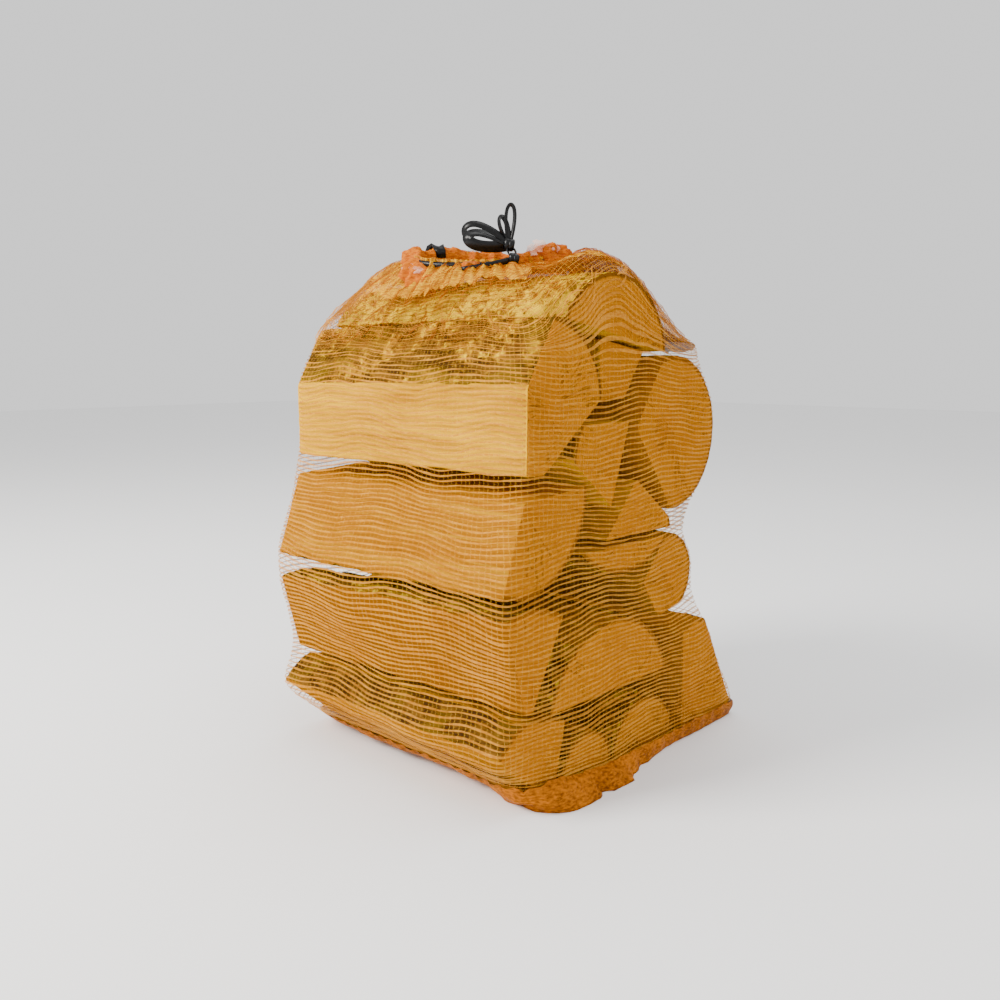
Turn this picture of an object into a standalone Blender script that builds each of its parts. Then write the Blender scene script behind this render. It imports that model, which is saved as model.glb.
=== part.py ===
"""A net bag packed tight with split firewood, standing on its flat bottom, its mouth tied with a tape in a bow.

Every log lies along X, with its sawn ends towards +X and -X. The split faces of the front logs look towards -Y.
Measures of the logs and the bag are given in centimetres in the tables and turned into metres as the meshes are made.
"""
import math
from dataclasses import dataclass

import bmesh
import bpy
from mathutils import Vector
from mathutils.bvhtree import BVHTree

CM = 0.01

# The bag: how far the net stands off the wood, the thickness of its wall and the radius of its upright corners.
NET_CLEARANCE = 0.30
NET_WALL = 0.12
CORNER_RADIUS = 0.45
SIDE_COLUMNS = 7
CORNER_COLUMNS = 3

# Rows up the side of the bag, then the shares of the way from the shoulder to the neck.
SIDE_TOP = 34.0
SIDE_STEP = 1.7
TENT_SHARES = (0.0, 0.1, 0.22, 0.38, 0.58, 0.79, 1.0)

# The neck and the gathered hem above it: an oval whose long way runs from the front left to the back right.
NECK_CENTRE = (-1.0, -0.9)
NECK_LONG = 6.6
NECK_SHORT = 3.3
NECK_TURN = 43.0
HEM_LOBES = 9
HEM_LOBE_DEPTH = 0.28

# The drawstring tape, the knot on the front of the hem and the crossing of the bow above it.
TAPE_WIDTH = 0.50
TAPE_THICKNESS = 0.10
KNOT = (3.70, -3.40, 41.25)
BOW = (2.95, -3.15, 42.40)

# The bow's loops: how far each reaches out and up, its heading, its half width and its roll, in centimetres and degrees.
BOW_LOOPS = (
    (3.7, 1.25, 218.0, 1.05, 75.0),
    (3.3, 0.55, 232.0, 0.80, 105.0),
    (0.7, 2.25, 215.0, 0.42, 80.0),
    (0.15, 3.20, 60.0, 0.50, 95.0),
)

# The place on the floor that becomes the origin, under the middle of the whole thing.
ORIGIN = (0.75, -0.235)


@dataclass(frozen=True)
class Log:
    """A length of round trunk split by flat cuts.

    pith is the middle of the trunk in (y, z); each flat is the direction it faces, in degrees from +Y towards +Z, and
    its distance from the pith. ends are the x of the far and the near sawn face, and square is how far the near face
    leans per centimetre of y and of z. The far end is the near outline scaled by taper and moved by shift.
    """

    name: str
    pith: tuple
    radius: float
    flats: tuple
    ends: tuple = (-12.4, 13.9)
    square: tuple = (0.0, 0.0)
    taper: float = 0.97
    shift: tuple = (0.0, 0.0)
    colour: tuple = (0.72, 0.47, 0.20)


LOGS = (
    Log("log_front_top", (-11.5, 29.7), 6.5, ((180, 1.9), (150, 2.4), (-90, 4.8), (-52, 3.8)),
        (-12.5, 14.0), (0.012, 0.010), 0.97, (-0.1, -0.25), (0.80, 0.56, 0.27)),
    Log("log_front_upper", (-13.3, 23.2), 7.0, ((161, 0.1), (94, 0.0)),
        (-12.6, 13.8), (-0.010, 0.008), 1.04, (-0.1, 0.0), (0.78, 0.53, 0.25)),
    Log("log_front_middle", (-13.2, 7.6), 7.9, ((195, 0.3), (-28, 0.3), (-90, -0.2)),
        (-12.2, 14.1), (0.008, -0.014), 0.92, (-0.7, -0.1), (0.80, 0.55, 0.27)),
    Log("log_front_bottom", (-11.0, 1.3), 6.2, ((230, 0.32), (-90, 1.0), (-12, 1.5), (78, 5.2)),
        (-12.4, 13.6), (0.010, 0.012), 0.96, (-0.1, -0.01), (0.66, 0.42, 0.18)),
    Log("log_crown", (-3.3, 32.6), 6.9, ((261, -2.35),),
        (-12.4, 13.9), (0.006, 0.010), 0.99, (0.0, 0.0), (0.55, 0.42, 0.20)),
    Log("log_filler_upper", (-1.2, 30.0), 4.9, ((-88, 0.1), (-33, 0.8), (180, 2.4), (81, 4.2)),
        (-11.8, 12.7), (0.010, 0.0), 0.95, (0.0, 0.0), (0.60, 0.38, 0.17)),
    Log("log_back_round", (5.0, 27.0), 6.4, ((217, 3.9), (147, 4.9)),
        (-12.3, 13.9), (-0.010, 0.006), 0.98, (0.05, 0.0), (0.70, 0.45, 0.19)),
    Log("log_centre_wedge", (-2.6, 25.2), 4.5, ((90, 3.1), (-19, 0.6), (230, 3.1)),
        (-12.2, 13.7), (0.012, -0.010), 0.95, (0.0, 0.0), (0.68, 0.44, 0.19)),
    Log("log_centre_half", (-0.6, 18.6), 5.5, ((-90, -0.6), (139, 3.2), (54, 4.3)),
        (-12.5, 14.0), (-0.008, 0.014), 0.96, (0.0, 0.0), (0.72, 0.46, 0.20)),
    Log("log_centre_slab", (-1.4, 24.8), 8.5, ((90, -6.15),),
        (-12.4, 14.1), (0.006, 0.012), 0.98, (0.0, 0.0), (0.70, 0.45, 0.20)),
    Log("log_back_middle", (5.6, 14.8), 3.7, ((215, 2.9), (-80, 3.2), (140, 2.6)),
        (-12.0, 13.2), (0.012, 0.008), 0.96, (0.0, 0.0), (0.64, 0.41, 0.18)),
    Log("log_low_half", (-2.9, 4.8), 8.1, ((-90, -2.1), (104, 7.7)),
        (-12.4, 13.8), (-0.006, 0.012), 0.97, (0.0, 0.0), (0.70, 0.45, 0.19)),
    Log("log_back_bottom", (8.2, 3.0), 7.6, ((180, 0.9), (105, 6.6), (28, 5.7), (-90, 2.7)),
        (-12.5, 14.0), (0.010, -0.008), 0.98, (0.0, -0.01), (0.69, 0.44, 0.19)),
    Log("log_floor_small", (-5.8, 1.2), 3.2, ((-90, 0.9), (70, 3.0)),
        (-12.1, 13.7), (0.0, 0.012), 0.96, (0.0, -0.01), (0.66, 0.42, 0.19)),
    Log("log_floor_round", (2.3, 0.5), 4.5, ((-90, 0.2),),
        (-12.3, 13.4), (0.008, 0.010), 0.97, (0.0, 0.0), (0.64, 0.41, 0.18)),
)


def material(name, colour, roughness, alpha=1.0):
    """A plain Principled material."""
    made = bpy.data.materials.new(name)
    made.use_nodes = True
    shader = made.node_tree.nodes["Principled BSDF"]
    shader.inputs["Base Color"].default_value = (*colour, 1.0)
    shader.inputs["Roughness"].default_value = roughness
    shader.inputs["Alpha"].default_value = alpha
    made.diffuse_color = (*colour, 1.0)
    return made


def add_object(name, mesh, look):
    """Put a mesh in the scene under its name, standing over the origin."""
    mesh.materials.append(look)
    made = bpy.data.objects.new(name, mesh)
    made.location = (-ORIGIN[0] * CM, -ORIGIN[1] * CM, 0.0)
    bpy.context.scene.collection.objects.link(made)
    return made


def mesh_from(name, points, faces):
    """A mesh in metres from points in centimetres, with every face turned outwards."""
    bm = bmesh.new()
    corners = [bm.verts.new(Vector(point) * CM) for point in points]
    for face in faces:
        bm.faces.new([corners[index] for index in face])
    bmesh.ops.recalc_face_normals(bm, faces=bm.faces)
    mesh = bpy.data.meshes.new(name)
    bm.to_mesh(mesh)
    bm.free()
    return mesh


def trunk_outline(log):
    """The near end of a log in (y, z): a circle with its flat cuts taken off."""
    sides = 44
    outline = []
    for step in range(sides):
        turn = 2.0 * math.pi * (step + 0.5) / sides
        outline.append((log.radius * math.cos(turn), log.radius * math.sin(turn)))
    for angle, distance in log.flats:
        facing = (math.cos(math.radians(angle)), math.sin(math.radians(angle)))
        kept = []
        for start, end in zip(outline, outline[1:] + outline[:1]):
            over_start = start[0] * facing[0] + start[1] * facing[1] - distance
            over_end = end[0] * facing[0] + end[1] * facing[1] - distance
            if over_start <= 0.0:
                kept.append(start)
            if (over_start <= 0.0) != (over_end <= 0.0):
                share = over_start / (over_start - over_end)
                kept.append((start[0] + share * (end[0] - start[0]), start[1] + share * (end[1] - start[1])))
        outline = kept
    tidy = []
    for point in outline:
        if not tidy or math.dist(point, tidy[-1]) > 0.25:
            tidy.append(point)
    if math.dist(tidy[0], tidy[-1]) < 0.25:
        tidy.pop()
    return tidy


def log_ends(log):
    """The corner points of a log's far and near faces, in order round each face."""
    far, near = [], []
    for y, z in trunk_outline(log):
        lean = log.square[0] * y + log.square[1] * z
        near.append((log.ends[1] + lean, log.pith[0] + y, log.pith[1] + z))
        far_y = log.pith[0] + log.taper * y + log.shift[0]
        far_z = log.pith[1] + log.taper * z + log.shift[1]
        far.append((log.ends[0] - 0.7 * lean, far_y, far_z))
    return far, near


def build_log(log):
    """One split log as a closed solid."""
    far, near = log_ends(log)
    count = len(near)
    faces = [tuple(range(count)), tuple(range(count, 2 * count))]
    for index in range(count):
        after = (index + 1) % count
        faces.append((index, after, count + after, count + index))
    mesh = mesh_from(log.name, far + near, faces)
    return add_object(log.name, mesh, material("wood_" + log.name[4:], log.colour, 0.75))


def reach(low, high):
    """How far the logs reach between two heights: the far and near x and the front and back y."""
    found = []
    for log in LOGS:
        for face in log_ends(log):
            for start, end in zip(face, face[1:] + face[:1]):
                if low <= start[2] <= high:
                    found.append(start)
                for level in (low, high):
                    if (start[2] - level) * (end[2] - level) < 0.0:
                        share = (level - start[2]) / (end[2] - start[2])
                        found.append(tuple(a + share * (b - a) for a, b in zip(start, end)))
    return (min(p[0] for p in found), max(p[0] for p in found), min(p[1] for p in found), max(p[1] for p in found))


def side_rows():
    """Each row up the side: its height and its far, near, front and back reach, pulled straight over small hollows."""
    count = round(SIDE_TOP / SIDE_STEP)
    heights = [0.0, 0.5] + [SIDE_TOP * (index + 1) / count for index in range(count)]
    reaches = []
    for index, height in enumerate(heights):
        low = heights[max(index - 1, 0)]
        high = heights[index + 1] if index + 1 < len(heights) else height + 1.0
        reaches.append(reach(max(low, 0.0), max(high, 1.0)))
    rows = []
    for index, height in enumerate(heights):
        pulled = list(reaches[index])
        for below in range(index):
            for above in range(index + 1, len(heights)):
                if heights[above] - heights[below] > 3.5:
                    continue
                share = (height - heights[below]) / (heights[above] - heights[below])
                for side, pick in enumerate((min, max, min, max)):
                    line = reaches[below][side] + share * (reaches[above][side] - reaches[below][side])
                    pulled[side] = pick(pulled[side], line)
        rows.append((height, pulled))
    return rows


def rounded_loop(bounds, clearance, radius):
    """Points round a rounded rectangle, from the near front corner to the back, the far side and the front."""
    far, near, front, back = bounds
    far, near, front, back = far - clearance, near + clearance, front - clearance, back + clearance
    corners = ((near, front, -90.0, -1, 1), (near, back, 0.0, -1, -1), (far, back, 90.0, 1, -1), (far, front, 180.0, 1, 1))
    rounds = []
    for x, y, start, in_x, in_y in corners:
        middle = (x + in_x * radius, y + in_y * radius)
        for step in range(CORNER_COLUMNS):
            turn = math.radians(start + 90.0 * step / (CORNER_COLUMNS - 1))
            rounds.append((middle[0] + radius * math.cos(turn), middle[1] + radius * math.sin(turn)))
    loop = []
    for corner in range(4):
        arc = rounds[corner * CORNER_COLUMNS:(corner + 1) * CORNER_COLUMNS]
        loop.extend(arc)
        start, end = arc[-1], rounds[((corner + 1) * CORNER_COLUMNS) % len(rounds)]
        for step in range(1, SIDE_COLUMNS + 1):
            share = step / (SIDE_COLUMNS + 1)
            loop.append((start[0] + share * (end[0] - start[0]), start[1] + share * (end[1] - start[1])))
    return loop


def neck_height(turn):
    """The height of the neck round the oval: 0 is the back right end, 90 degrees the back, 270 degrees the front."""
    wave = 0.22 * math.cos(2.0 * (turn - math.radians(45.0)))
    return 40.72 - 0.18 * math.cos(turn) + 0.58 * math.sin(turn) - wave


def neck_point(turn, out, up):
    """A point of the neck oval, moved outwards and upwards."""
    long_way = (NECK_LONG + out) * math.cos(turn)
    short_way = (NECK_SHORT + out) * math.sin(turn)
    lean = math.radians(NECK_TURN)
    x = NECK_CENTRE[0] + long_way * math.cos(lean) - short_way * math.sin(lean)
    y = NECK_CENTRE[1] + long_way * math.sin(lean) + short_way * math.cos(lean)
    return (x, y, neck_height(turn) + up)


def tent_surface():
    """The stretched top of the bag as a tree to drop rays on: the hull of the upper logs and the neck."""
    bm = bmesh.new()
    for log in LOGS:
        for face in log_ends(log):
            for point in face:
                if point[2] > 24.0:
                    bm.verts.new(point)
    for step in range(36):
        bm.verts.new(neck_point(2.0 * math.pi * step / 36, 0.0, 0.0))
    hull = bmesh.ops.convex_hull(bm, input=bm.verts)
    bmesh.ops.delete(bm, geom=[v for v in hull["geom_interior"] if isinstance(v, bmesh.types.BMVert)], context="VERTS")
    tree = BVHTree.FromBMesh(bm)
    bm.free()
    return tree


def puff(x, y):
    """How far the slack net stands off the stretched top: one puff at each end of the crown log."""
    near = 1.7 * math.exp(-((x - 11.0) / 2.2) ** 2 - ((y + 2.6) / 3.2) ** 2)
    far = 1.5 * math.exp(-((x + 9.4) / 2.6) ** 2 - ((y + 5.0) / 3.0) ** 2)
    return near + far


def tent_height(tree, x, y):
    """The height of the stretched top over a point, carried on a little past the logs' ends, or None beside it."""
    hit = tree.ray_cast(Vector((min(max(x, -12.3), 13.8), y, 80.0)), Vector((0.0, 0.0, -1.0)))
    return hit[0].z if hit[0] is not None else None


def level_edge(tree, start, step):
    """The y, going in from start towards the middle, where the stretched top first reaches the shoulder's height."""
    y = start
    while max(tent_height(tree, x, y) or 0.0 for x in (-12.2, 0.0, 13.6)) < SIDE_TOP:
        y += step
    return y


def column_turns(base):
    """Where each column meets the neck oval, as an angle that keeps the columns in order."""
    turns = []
    for index, (x, y) in enumerate(base):
        seen = math.atan2(y - NECK_CENTRE[1], x - NECK_CENTRE[0]) - math.radians(NECK_TURN)
        even = 2.0 * math.pi * (index - 1) / len(base) - math.radians(45.0) - math.radians(NECK_TURN)
        seen += 2.0 * math.pi * round((even - seen) / (2.0 * math.pi))
        turns.append(0.5 * seen + 0.5 * even)
    return turns


def lift_clear(rows, tree, clearance):
    """Raise the corners of the tent's rows wherever a line between two of them would dip into the stretched top."""
    columns = len(rows[0])
    pairs = []
    for row in range(len(rows) - 1):
        for column in range(columns):
            pairs.append(((row, column), (row, (column + 1) % columns)))
            if row + 2 < len(rows):
                pairs.append(((row, column), (row + 1, column)))
                pairs.append(((row, column), (row + 1, (column + 1) % columns)))
                pairs.append(((row, (column + 1) % columns), (row + 1, column)))
    for _ in range(3):
        for first, second in pairs:
            start, end = rows[first[0]][first[1]], rows[second[0]][second[1]]
            short = 0.0
            margin = clearance + 0.12 if second[0] < len(rows) - 2 else 0.0
            for share in (0.15, 0.3, 0.5, 0.7, 0.85):
                x, y, z = (a + share * (b - a) for a, b in zip(start, end))
                height = tent_height(tree, x, y)
                if height is not None:
                    short = max(short, height + margin - z)
            for row, column in (first, second):
                if row < len(rows) - 1:
                    x, y, z = rows[row][column]
                    rows[row][column] = (x, y, z + short)


def bag_skin(clearance, bottom, rim_out):
    """Rows of points of one face of the bag's wall, from the floor to the rim of the hem."""
    rows = []
    tree = tent_surface()
    sides = side_rows()
    bounds = sides[-1][1]
    shoulder = (bounds[0], bounds[1], level_edge(tree, -13.5, 0.1), level_edge(tree, 10.5, -0.1))
    sides[-1] = (SIDE_TOP, shoulder)
    for height, bounds in sides:
        inset = 0.08 if height == 0.0 else 0.0
        loop = rounded_loop(bounds, clearance - inset, CORNER_RADIUS)
        rows.append([(x, y, max(height, bottom)) for x, y in loop])
    rows[1] = [(x, y, bottom + 0.5) for x, y, z in rows[1]]
    base = [(x, y) for x, y, z in rows[-1]]
    turns = column_turns(base)
    tent = []
    for share in TENT_SHARES:
        row = []
        for (x, y), turn in zip(base, turns):
            neck = neck_point(turn, rim_out, 0.0)
            plan_x, plan_y = x + share * (neck[0] - x), y + share * (neck[1] - y)
            inner_x = min(max(plan_x, shoulder[0] + 0.4), shoulder[1] - 0.4)
            inner_y = min(max(plan_y, shoulder[2] + 0.1), shoulder[3] - 0.1)
            height = tent_height(tree, inner_x, inner_y)
            if height is None or share == 1.0:
                height = neck[2] if share == 1.0 else SIDE_TOP
            row.append((plan_x, plan_y, max(height + (clearance if share < 1.0 else 0.0), SIDE_TOP + 0.35 + share)))
        tent.append(row)
    lift_clear(tent, tree, clearance)
    for share, row in zip(TENT_SHARES, tent):
        rows.append([(x, y, z + (1.0 - share ** 4) * puff(x, y)) for x, y, z in row])
    for lift, spread, lobes in ((0.7, -0.35, 0.0), (1.25, -0.1, 0.5), (1.8, 0.35, 1.0)):
        row = []
        for turn in turns:
            wave = HEM_LOBE_DEPTH * lobes * math.sin(HEM_LOBES * turn)
            row.append(neck_point(turn, rim_out + spread + wave, lift + 0.5 * wave))
        rows.append(row)
    return rows


def build_bag():
    """The net bag as a thin closed skin with an open mouth."""
    outer = bag_skin(NET_CLEARANCE, 0.0, 0.0)
    columns, levels = len(outer[0]), len(outer)
    points = [point for row in outer for point in row]
    faces = []
    for row in range(levels - 1):
        for column in range(columns):
            after = (column + 1) % columns
            low, high = row * columns, (row + 1) * columns
            faces.append((low + column, low + after, high + after, high + column))
    faces.append(tuple(range(columns)))
    mesh = mesh_from("net_bag", points, faces)
    bm = bmesh.new()
    bm.from_mesh(mesh)
    bmesh.ops.triangulate(bm, faces=bm.faces)
    bmesh.ops.recalc_face_normals(bm, faces=bm.faces)
    bmesh.ops.solidify(bm, geom=bm.faces[:], thickness=-NET_WALL * CM)
    bmesh.ops.recalc_face_normals(bm, faces=bm.faces)
    bm.to_mesh(mesh)
    bm.free()
    return add_object("net_bag", mesh, material("orange_net", (0.85, 0.36, 0.05), 0.45, 0.6))


def ribbon(points, across, closed):
    """A strip of tape along a path, with its width along the given directions; the ends are square."""
    half, thick = 0.5 * TAPE_WIDTH, 0.5 * TAPE_THICKNESS
    count = len(points)
    corners, faces = [], []
    for index, point in enumerate(points):
        before = points[index - 1] if closed or index else point
        after = points[(index + 1) % count] if closed or index + 1 < count else point
        along = (Vector(after) - Vector(before)).normalized()
        wide = Vector(across[index])
        wide = (wide - along * wide.dot(along)).normalized()
        face = along.cross(wide)
        for side, lift in ((-1, -1), (1, -1), (1, 1), (-1, 1)):
            corners.append(Vector(point) + wide * half * side + face * thick * lift)
    for index in range(count if closed else count - 1):
        low, high = 4 * index, 4 * ((index + 1) % count)
        for side in range(4):
            after = (side + 1) % 4
            faces.append((low + side, low + after, high + after, high + side))
    if not closed:
        faces.append((0, 1, 2, 3))
        faces.append(tuple(4 * (count - 1) + side for side in range(4)))
    return corners, faces


def bow_loop(reach_out, rise, heading, width, tilt):
    """The path of one loop of the bow, out of the crossing and back, and the directions of the tape's width."""
    heading, tilt = math.radians(heading), math.radians(tilt)
    out = Vector((math.cos(heading), math.sin(heading), 0.0))
    axis = (out * reach_out + Vector((0.0, 0.0, rise))).normalized()
    length = math.hypot(reach_out, rise)
    level = axis.cross(Vector((0.0, 0.0, 1.0)))
    level = level.normalized() if level.length > 0.05 else Vector((0.68, -0.73, 0.0))
    spread = level * math.cos(tilt) + axis.cross(level) * math.sin(tilt)
    flat = axis.cross(spread)
    points, across = [], []
    steps = 14
    for step in range(steps + 1):
        turn = 2.0 * math.pi * (step / steps)
        along = length * 0.5 * (1.0 - math.cos(turn))
        aside = width * math.sin(turn) * (0.35 + 0.65 * along / length)
        points.append(Vector(BOW) + axis * along + spread * aside)
        across.append(flat)
    return points, across


def build_drawstring():
    """The tape round the neck with its knot and bow, joined into one solid."""
    look = material("black_tape", (0.02, 0.02, 0.022), 0.3)
    pieces = []
    ring, up = [], []
    for step in range(48):
        turn = 2.0 * math.pi * step / 48
        ring.append(neck_point(turn, 0.26, 0.66))
        up.append((0.0, 0.0, 1.0))
    pieces.append(ribbon(ring, up, True))
    front = Vector(neck_point(math.radians(284.0), 0.26, 0.66))
    level = [(0.73, 0.68, 0.0)] * 3
    pieces.append(ribbon([front, front.lerp(Vector(KNOT), 0.5), Vector(KNOT)], level, False))
    pieces.append(ribbon([Vector(KNOT), Vector(KNOT).lerp(Vector(BOW), 0.5), Vector(BOW)], level, False))
    for shape in BOW_LOOPS:
        path, across = bow_loop(*shape)
        pieces.append(ribbon(path[1:-1], across[1:-1], False))
    tape = None
    for number, (corners, faces) in enumerate(pieces):
        made = add_object("tape_%d" % number, mesh_from("tape", corners, faces), look)
        if tape is None:
            tape = made
            continue
        join(tape, made)
    for middle, radius in ((KNOT, 0.40), (BOW, 0.52)):
        bm = bmesh.new()
        bmesh.ops.create_icosphere(bm, subdivisions=2, radius=radius * CM)
        bmesh.ops.scale(bm, verts=bm.verts, vec=(1.2, 0.95, 1.05))
        bmesh.ops.translate(bm, verts=bm.verts, vec=Vector(middle) * CM)
        mesh = bpy.data.meshes.new("knot")
        bm.to_mesh(mesh)
        bm.free()
        join(tape, add_object("knot", mesh, look))
    tape.name = "drawstring"
    return tape


def join(base, other):
    """Unite two solids and leave only the first."""
    union = base.modifiers.new("union", "BOOLEAN")
    union.operation = "UNION"
    union.object = other
    bpy.context.view_layer.update()
    mesh = bpy.data.meshes.new_from_object(base.evaluated_get(bpy.context.evaluated_depsgraph_get()))
    base.modifiers.clear()
    base.data = mesh
    bpy.data.objects.remove(other)


def main():
    """Clear the scene and build the filled bag."""
    for old in list(bpy.data.objects):
        bpy.data.objects.remove(old)
    for log in LOGS:
        build_log(log)
    build_bag()
    build_drawstring()


main()
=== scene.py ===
"""The looks of a net bag packed tight with split firewood, standing on its bottom with its mouth tied in a bow.

Measures of the wood and the bag are in centimetres from the middle of the stack, and place() turns them into the
metres of the model. Every log lies along X; the photographed sawn ends look towards +X, the split faces towards -Y.
"""
import logging
import math
from dataclasses import dataclass, field
from enum import Enum
from typing import Optional, Sequence, Union

import bmesh
import bpy
import numpy as np
from mathutils import Euler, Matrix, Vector, noise
from mathutils.bvhtree import BVHTree


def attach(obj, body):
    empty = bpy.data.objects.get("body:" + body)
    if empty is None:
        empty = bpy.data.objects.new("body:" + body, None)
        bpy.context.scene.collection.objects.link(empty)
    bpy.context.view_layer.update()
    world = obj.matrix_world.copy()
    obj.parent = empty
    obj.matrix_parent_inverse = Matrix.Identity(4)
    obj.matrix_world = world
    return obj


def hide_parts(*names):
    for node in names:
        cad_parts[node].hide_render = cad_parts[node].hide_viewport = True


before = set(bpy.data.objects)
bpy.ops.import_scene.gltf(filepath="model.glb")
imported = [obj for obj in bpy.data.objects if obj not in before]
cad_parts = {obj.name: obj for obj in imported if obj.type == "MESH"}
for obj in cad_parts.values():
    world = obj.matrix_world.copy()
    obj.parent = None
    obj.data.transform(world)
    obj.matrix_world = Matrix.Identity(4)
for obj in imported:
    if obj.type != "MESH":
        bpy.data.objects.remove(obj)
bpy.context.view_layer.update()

LOGGER = logging.getLogger("firewood_bag")

CM = 0.01
ORIGIN = (0.75, -0.235)
LOWEST = 0.001
FLOOR_GAP = 0.03
RIM_HEIGHT = 0.004
SAME_POINT = 1e-6
TRUNK_SIDES = 44
CORNER_GAP = 0.25
SHARP_EDGE = math.radians(42.0)


def place(point: Sequence[float]) -> Vector:
    """A point of the stack, in centimetres, as a point of the model, in metres."""
    return Vector(((point[0] - ORIGIN[0]) * CM, (point[1] - ORIGIN[1]) * CM, point[2] * CM))


def srgb(red: int, green: int, blue: int) -> tuple[float, float, float, float]:
    """A screen colour from 0 to 255 as a linear one with full alpha."""
    return (*(((v / 255.0 + 0.055) / 1.055) ** 2.4 if v > 10 else v / 3294.6 for v in (red, green, blue)), 1.0)


class Kind(Enum):
    """The sorts of surface a split log has, in the order of its material slots."""

    SPLIT = 0
    BARK = 1
    SAWN = 2


class Signal:
    """A node's output socket that takes part in sums; numbers may stand on either side."""

    def __init__(self, nodes: "Nodes", socket: bpy.types.NodeSocket) -> None:
        """Wrap one output socket."""
        self.nodes = nodes
        self.socket = socket

    def _math(self, operation: str, first: object, second: object = None, third: object = None) -> "Signal":
        """Add one Math node."""
        values = [value for value in (first, second, third) if value is not None]
        return self.nodes.add("ShaderNodeMath", {"operation": operation}, dict(enumerate(values)))

    def __add__(self, other: object) -> "Signal":
        """Sum."""
        return self._math("ADD", self, other)

    __radd__ = __add__

    def __sub__(self, other: object) -> "Signal":
        """Difference."""
        return self._math("SUBTRACT", self, other)

    def __rsub__(self, other: object) -> "Signal":
        """Difference from a number."""
        return self._math("SUBTRACT", other, self)

    def __mul__(self, other: object) -> "Signal":
        """Product."""
        return self._math("MULTIPLY", self, other)

    __rmul__ = __mul__

    def __truediv__(self, other: object) -> "Signal":
        """Quotient."""
        return self._math("DIVIDE", self, other)

    def __pow__(self, other: object) -> "Signal":
        """Power."""
        return self._math("POWER", self, other)

    def sine(self) -> "Signal":
        """Sine of the value."""
        return self._math("SINE", self)

    def ramp(self, low: float, high: float) -> "Signal":
        """A smooth step from 0 at low to 1 at high, whichever is larger."""
        settings = {"interpolation_type": "SMOOTHSTEP"}
        return self.nodes.add("ShaderNodeMapRange", settings, {"Value": self, "From Min": low, "From Max": high})


class Nodes:
    """A material's node tree, filled by expressions."""

    def __init__(self, name: str) -> None:
        """Start a Principled material of the given name."""
        self.material = bpy.data.materials.new(name)
        self.material.use_nodes = True
        self.tree = self.material.node_tree
        self.shader = self.tree.nodes["Principled BSDF"]

    def add(self, kind: str, settings: Optional[dict] = None, inputs: Optional[dict] = None,
            output: Union[int, str] = 0) -> Signal:
        """Add one node.

        Args:
            kind: the node's type.
            settings: its properties, set first; "stops" fills a colour ramp.
            inputs: values or signals by socket name or number.
            output: the socket that is returned.

        Returns:
            The chosen output as a signal.
        """
        node = self.tree.nodes.new(kind)
        for key, value in (settings or {}).items():
            if key == "stops":
                self._stops(node.color_ramp, value)
            else:
                setattr(node, key, value)
        for key, value in (inputs or {}).items():
            self.feed(node.inputs[key], value)
        return Signal(self, node.outputs[output])

    def _stops(self, ramp: bpy.types.ColorRamp, stops: Sequence[tuple]) -> None:
        """Fill a colour ramp from (place, colour) pairs."""
        while len(ramp.elements) < len(stops):
            ramp.elements.new(0.5)
        for element, (where, colour) in zip(ramp.elements, stops):
            element.position = where
            element.color = colour

    def feed(self, socket: bpy.types.NodeSocket, value: object) -> None:
        """Link a signal to a socket, or set a plain value on it."""
        if isinstance(value, Signal):
            self.tree.links.new(value.socket, socket)
        else:
            socket.default_value = value

    def mix(self, share: object, first: object, second: object, blend: str = "MIX") -> Signal:
        """Mix two colours, first where share is 0."""
        settings = {"data_type": "RGBA", "blend_type": blend}
        return self.add("ShaderNodeMix", settings, {0: share, 6: first, 7: second}, 2)

    def attribute(self, name: str, output: str = "Fac") -> Signal:
        """A value stored on the piece's own mesh."""
        return self.add("ShaderNodeAttribute", {"attribute_name": name}, {}, output)

    def stretched(self, vector: Signal, scale: tuple[float, float, float],
                  shift: tuple[float, float, float] = (0.0, 0.0, 0.0)) -> Signal:
        """A vector scaled by axis and then moved, for a pattern that follows the grain."""
        return self.add("ShaderNodeMapping", {}, {"Vector": vector, "Scale": scale, "Location": shift})

    def clouds(self, vector: Signal, scale: float, detail: float = 3.0, rough: float = 0.5,
               bend: float = 0.0) -> Signal:
        """Noise between 0 and 1."""
        values = {"Vector": vector, "Scale": scale, "Detail": detail, "Roughness": rough, "Distortion": bend}
        return self.add("ShaderNodeTexNoise", {}, values)

    def bump(self, height: Signal, distance: float, strength: float = 1.0) -> None:
        """Send a height in metres, times distance, to the shader's normal."""
        made = self.add("ShaderNodeBump", {}, {"Height": height, "Distance": distance, "Strength": strength})
        self.feed(self.shader.inputs["Normal"], made)

    def finish(self, **values: object) -> bpy.types.Material:
        """Set the shader's sockets, spaces in their names given as underscores, and hand back the material."""
        for name, value in values.items():
            self.feed(self.shader.inputs[name.replace("_", " ")], value)
        return self.material


def linked(name: str, bm: bmesh.types.BMesh, looks: Sequence[bpy.types.Material]) -> bpy.types.Object:
    """Make an object from a mesh and link it into the scene.

    Args:
        name: the object's name.
        bm: its mesh, which is used up.
        looks: its materials.

    Returns:
        The object, shaded smooth.
    """
    mesh = bpy.data.meshes.new(name)
    bm.to_mesh(mesh)
    bm.free()
    for look in looks:
        mesh.materials.append(look)
    for polygon in mesh.polygons:
        polygon.use_smooth = True
    piece = bpy.data.objects.new(name, mesh)
    bpy.context.scene.collection.objects.link(piece)
    return piece


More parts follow.
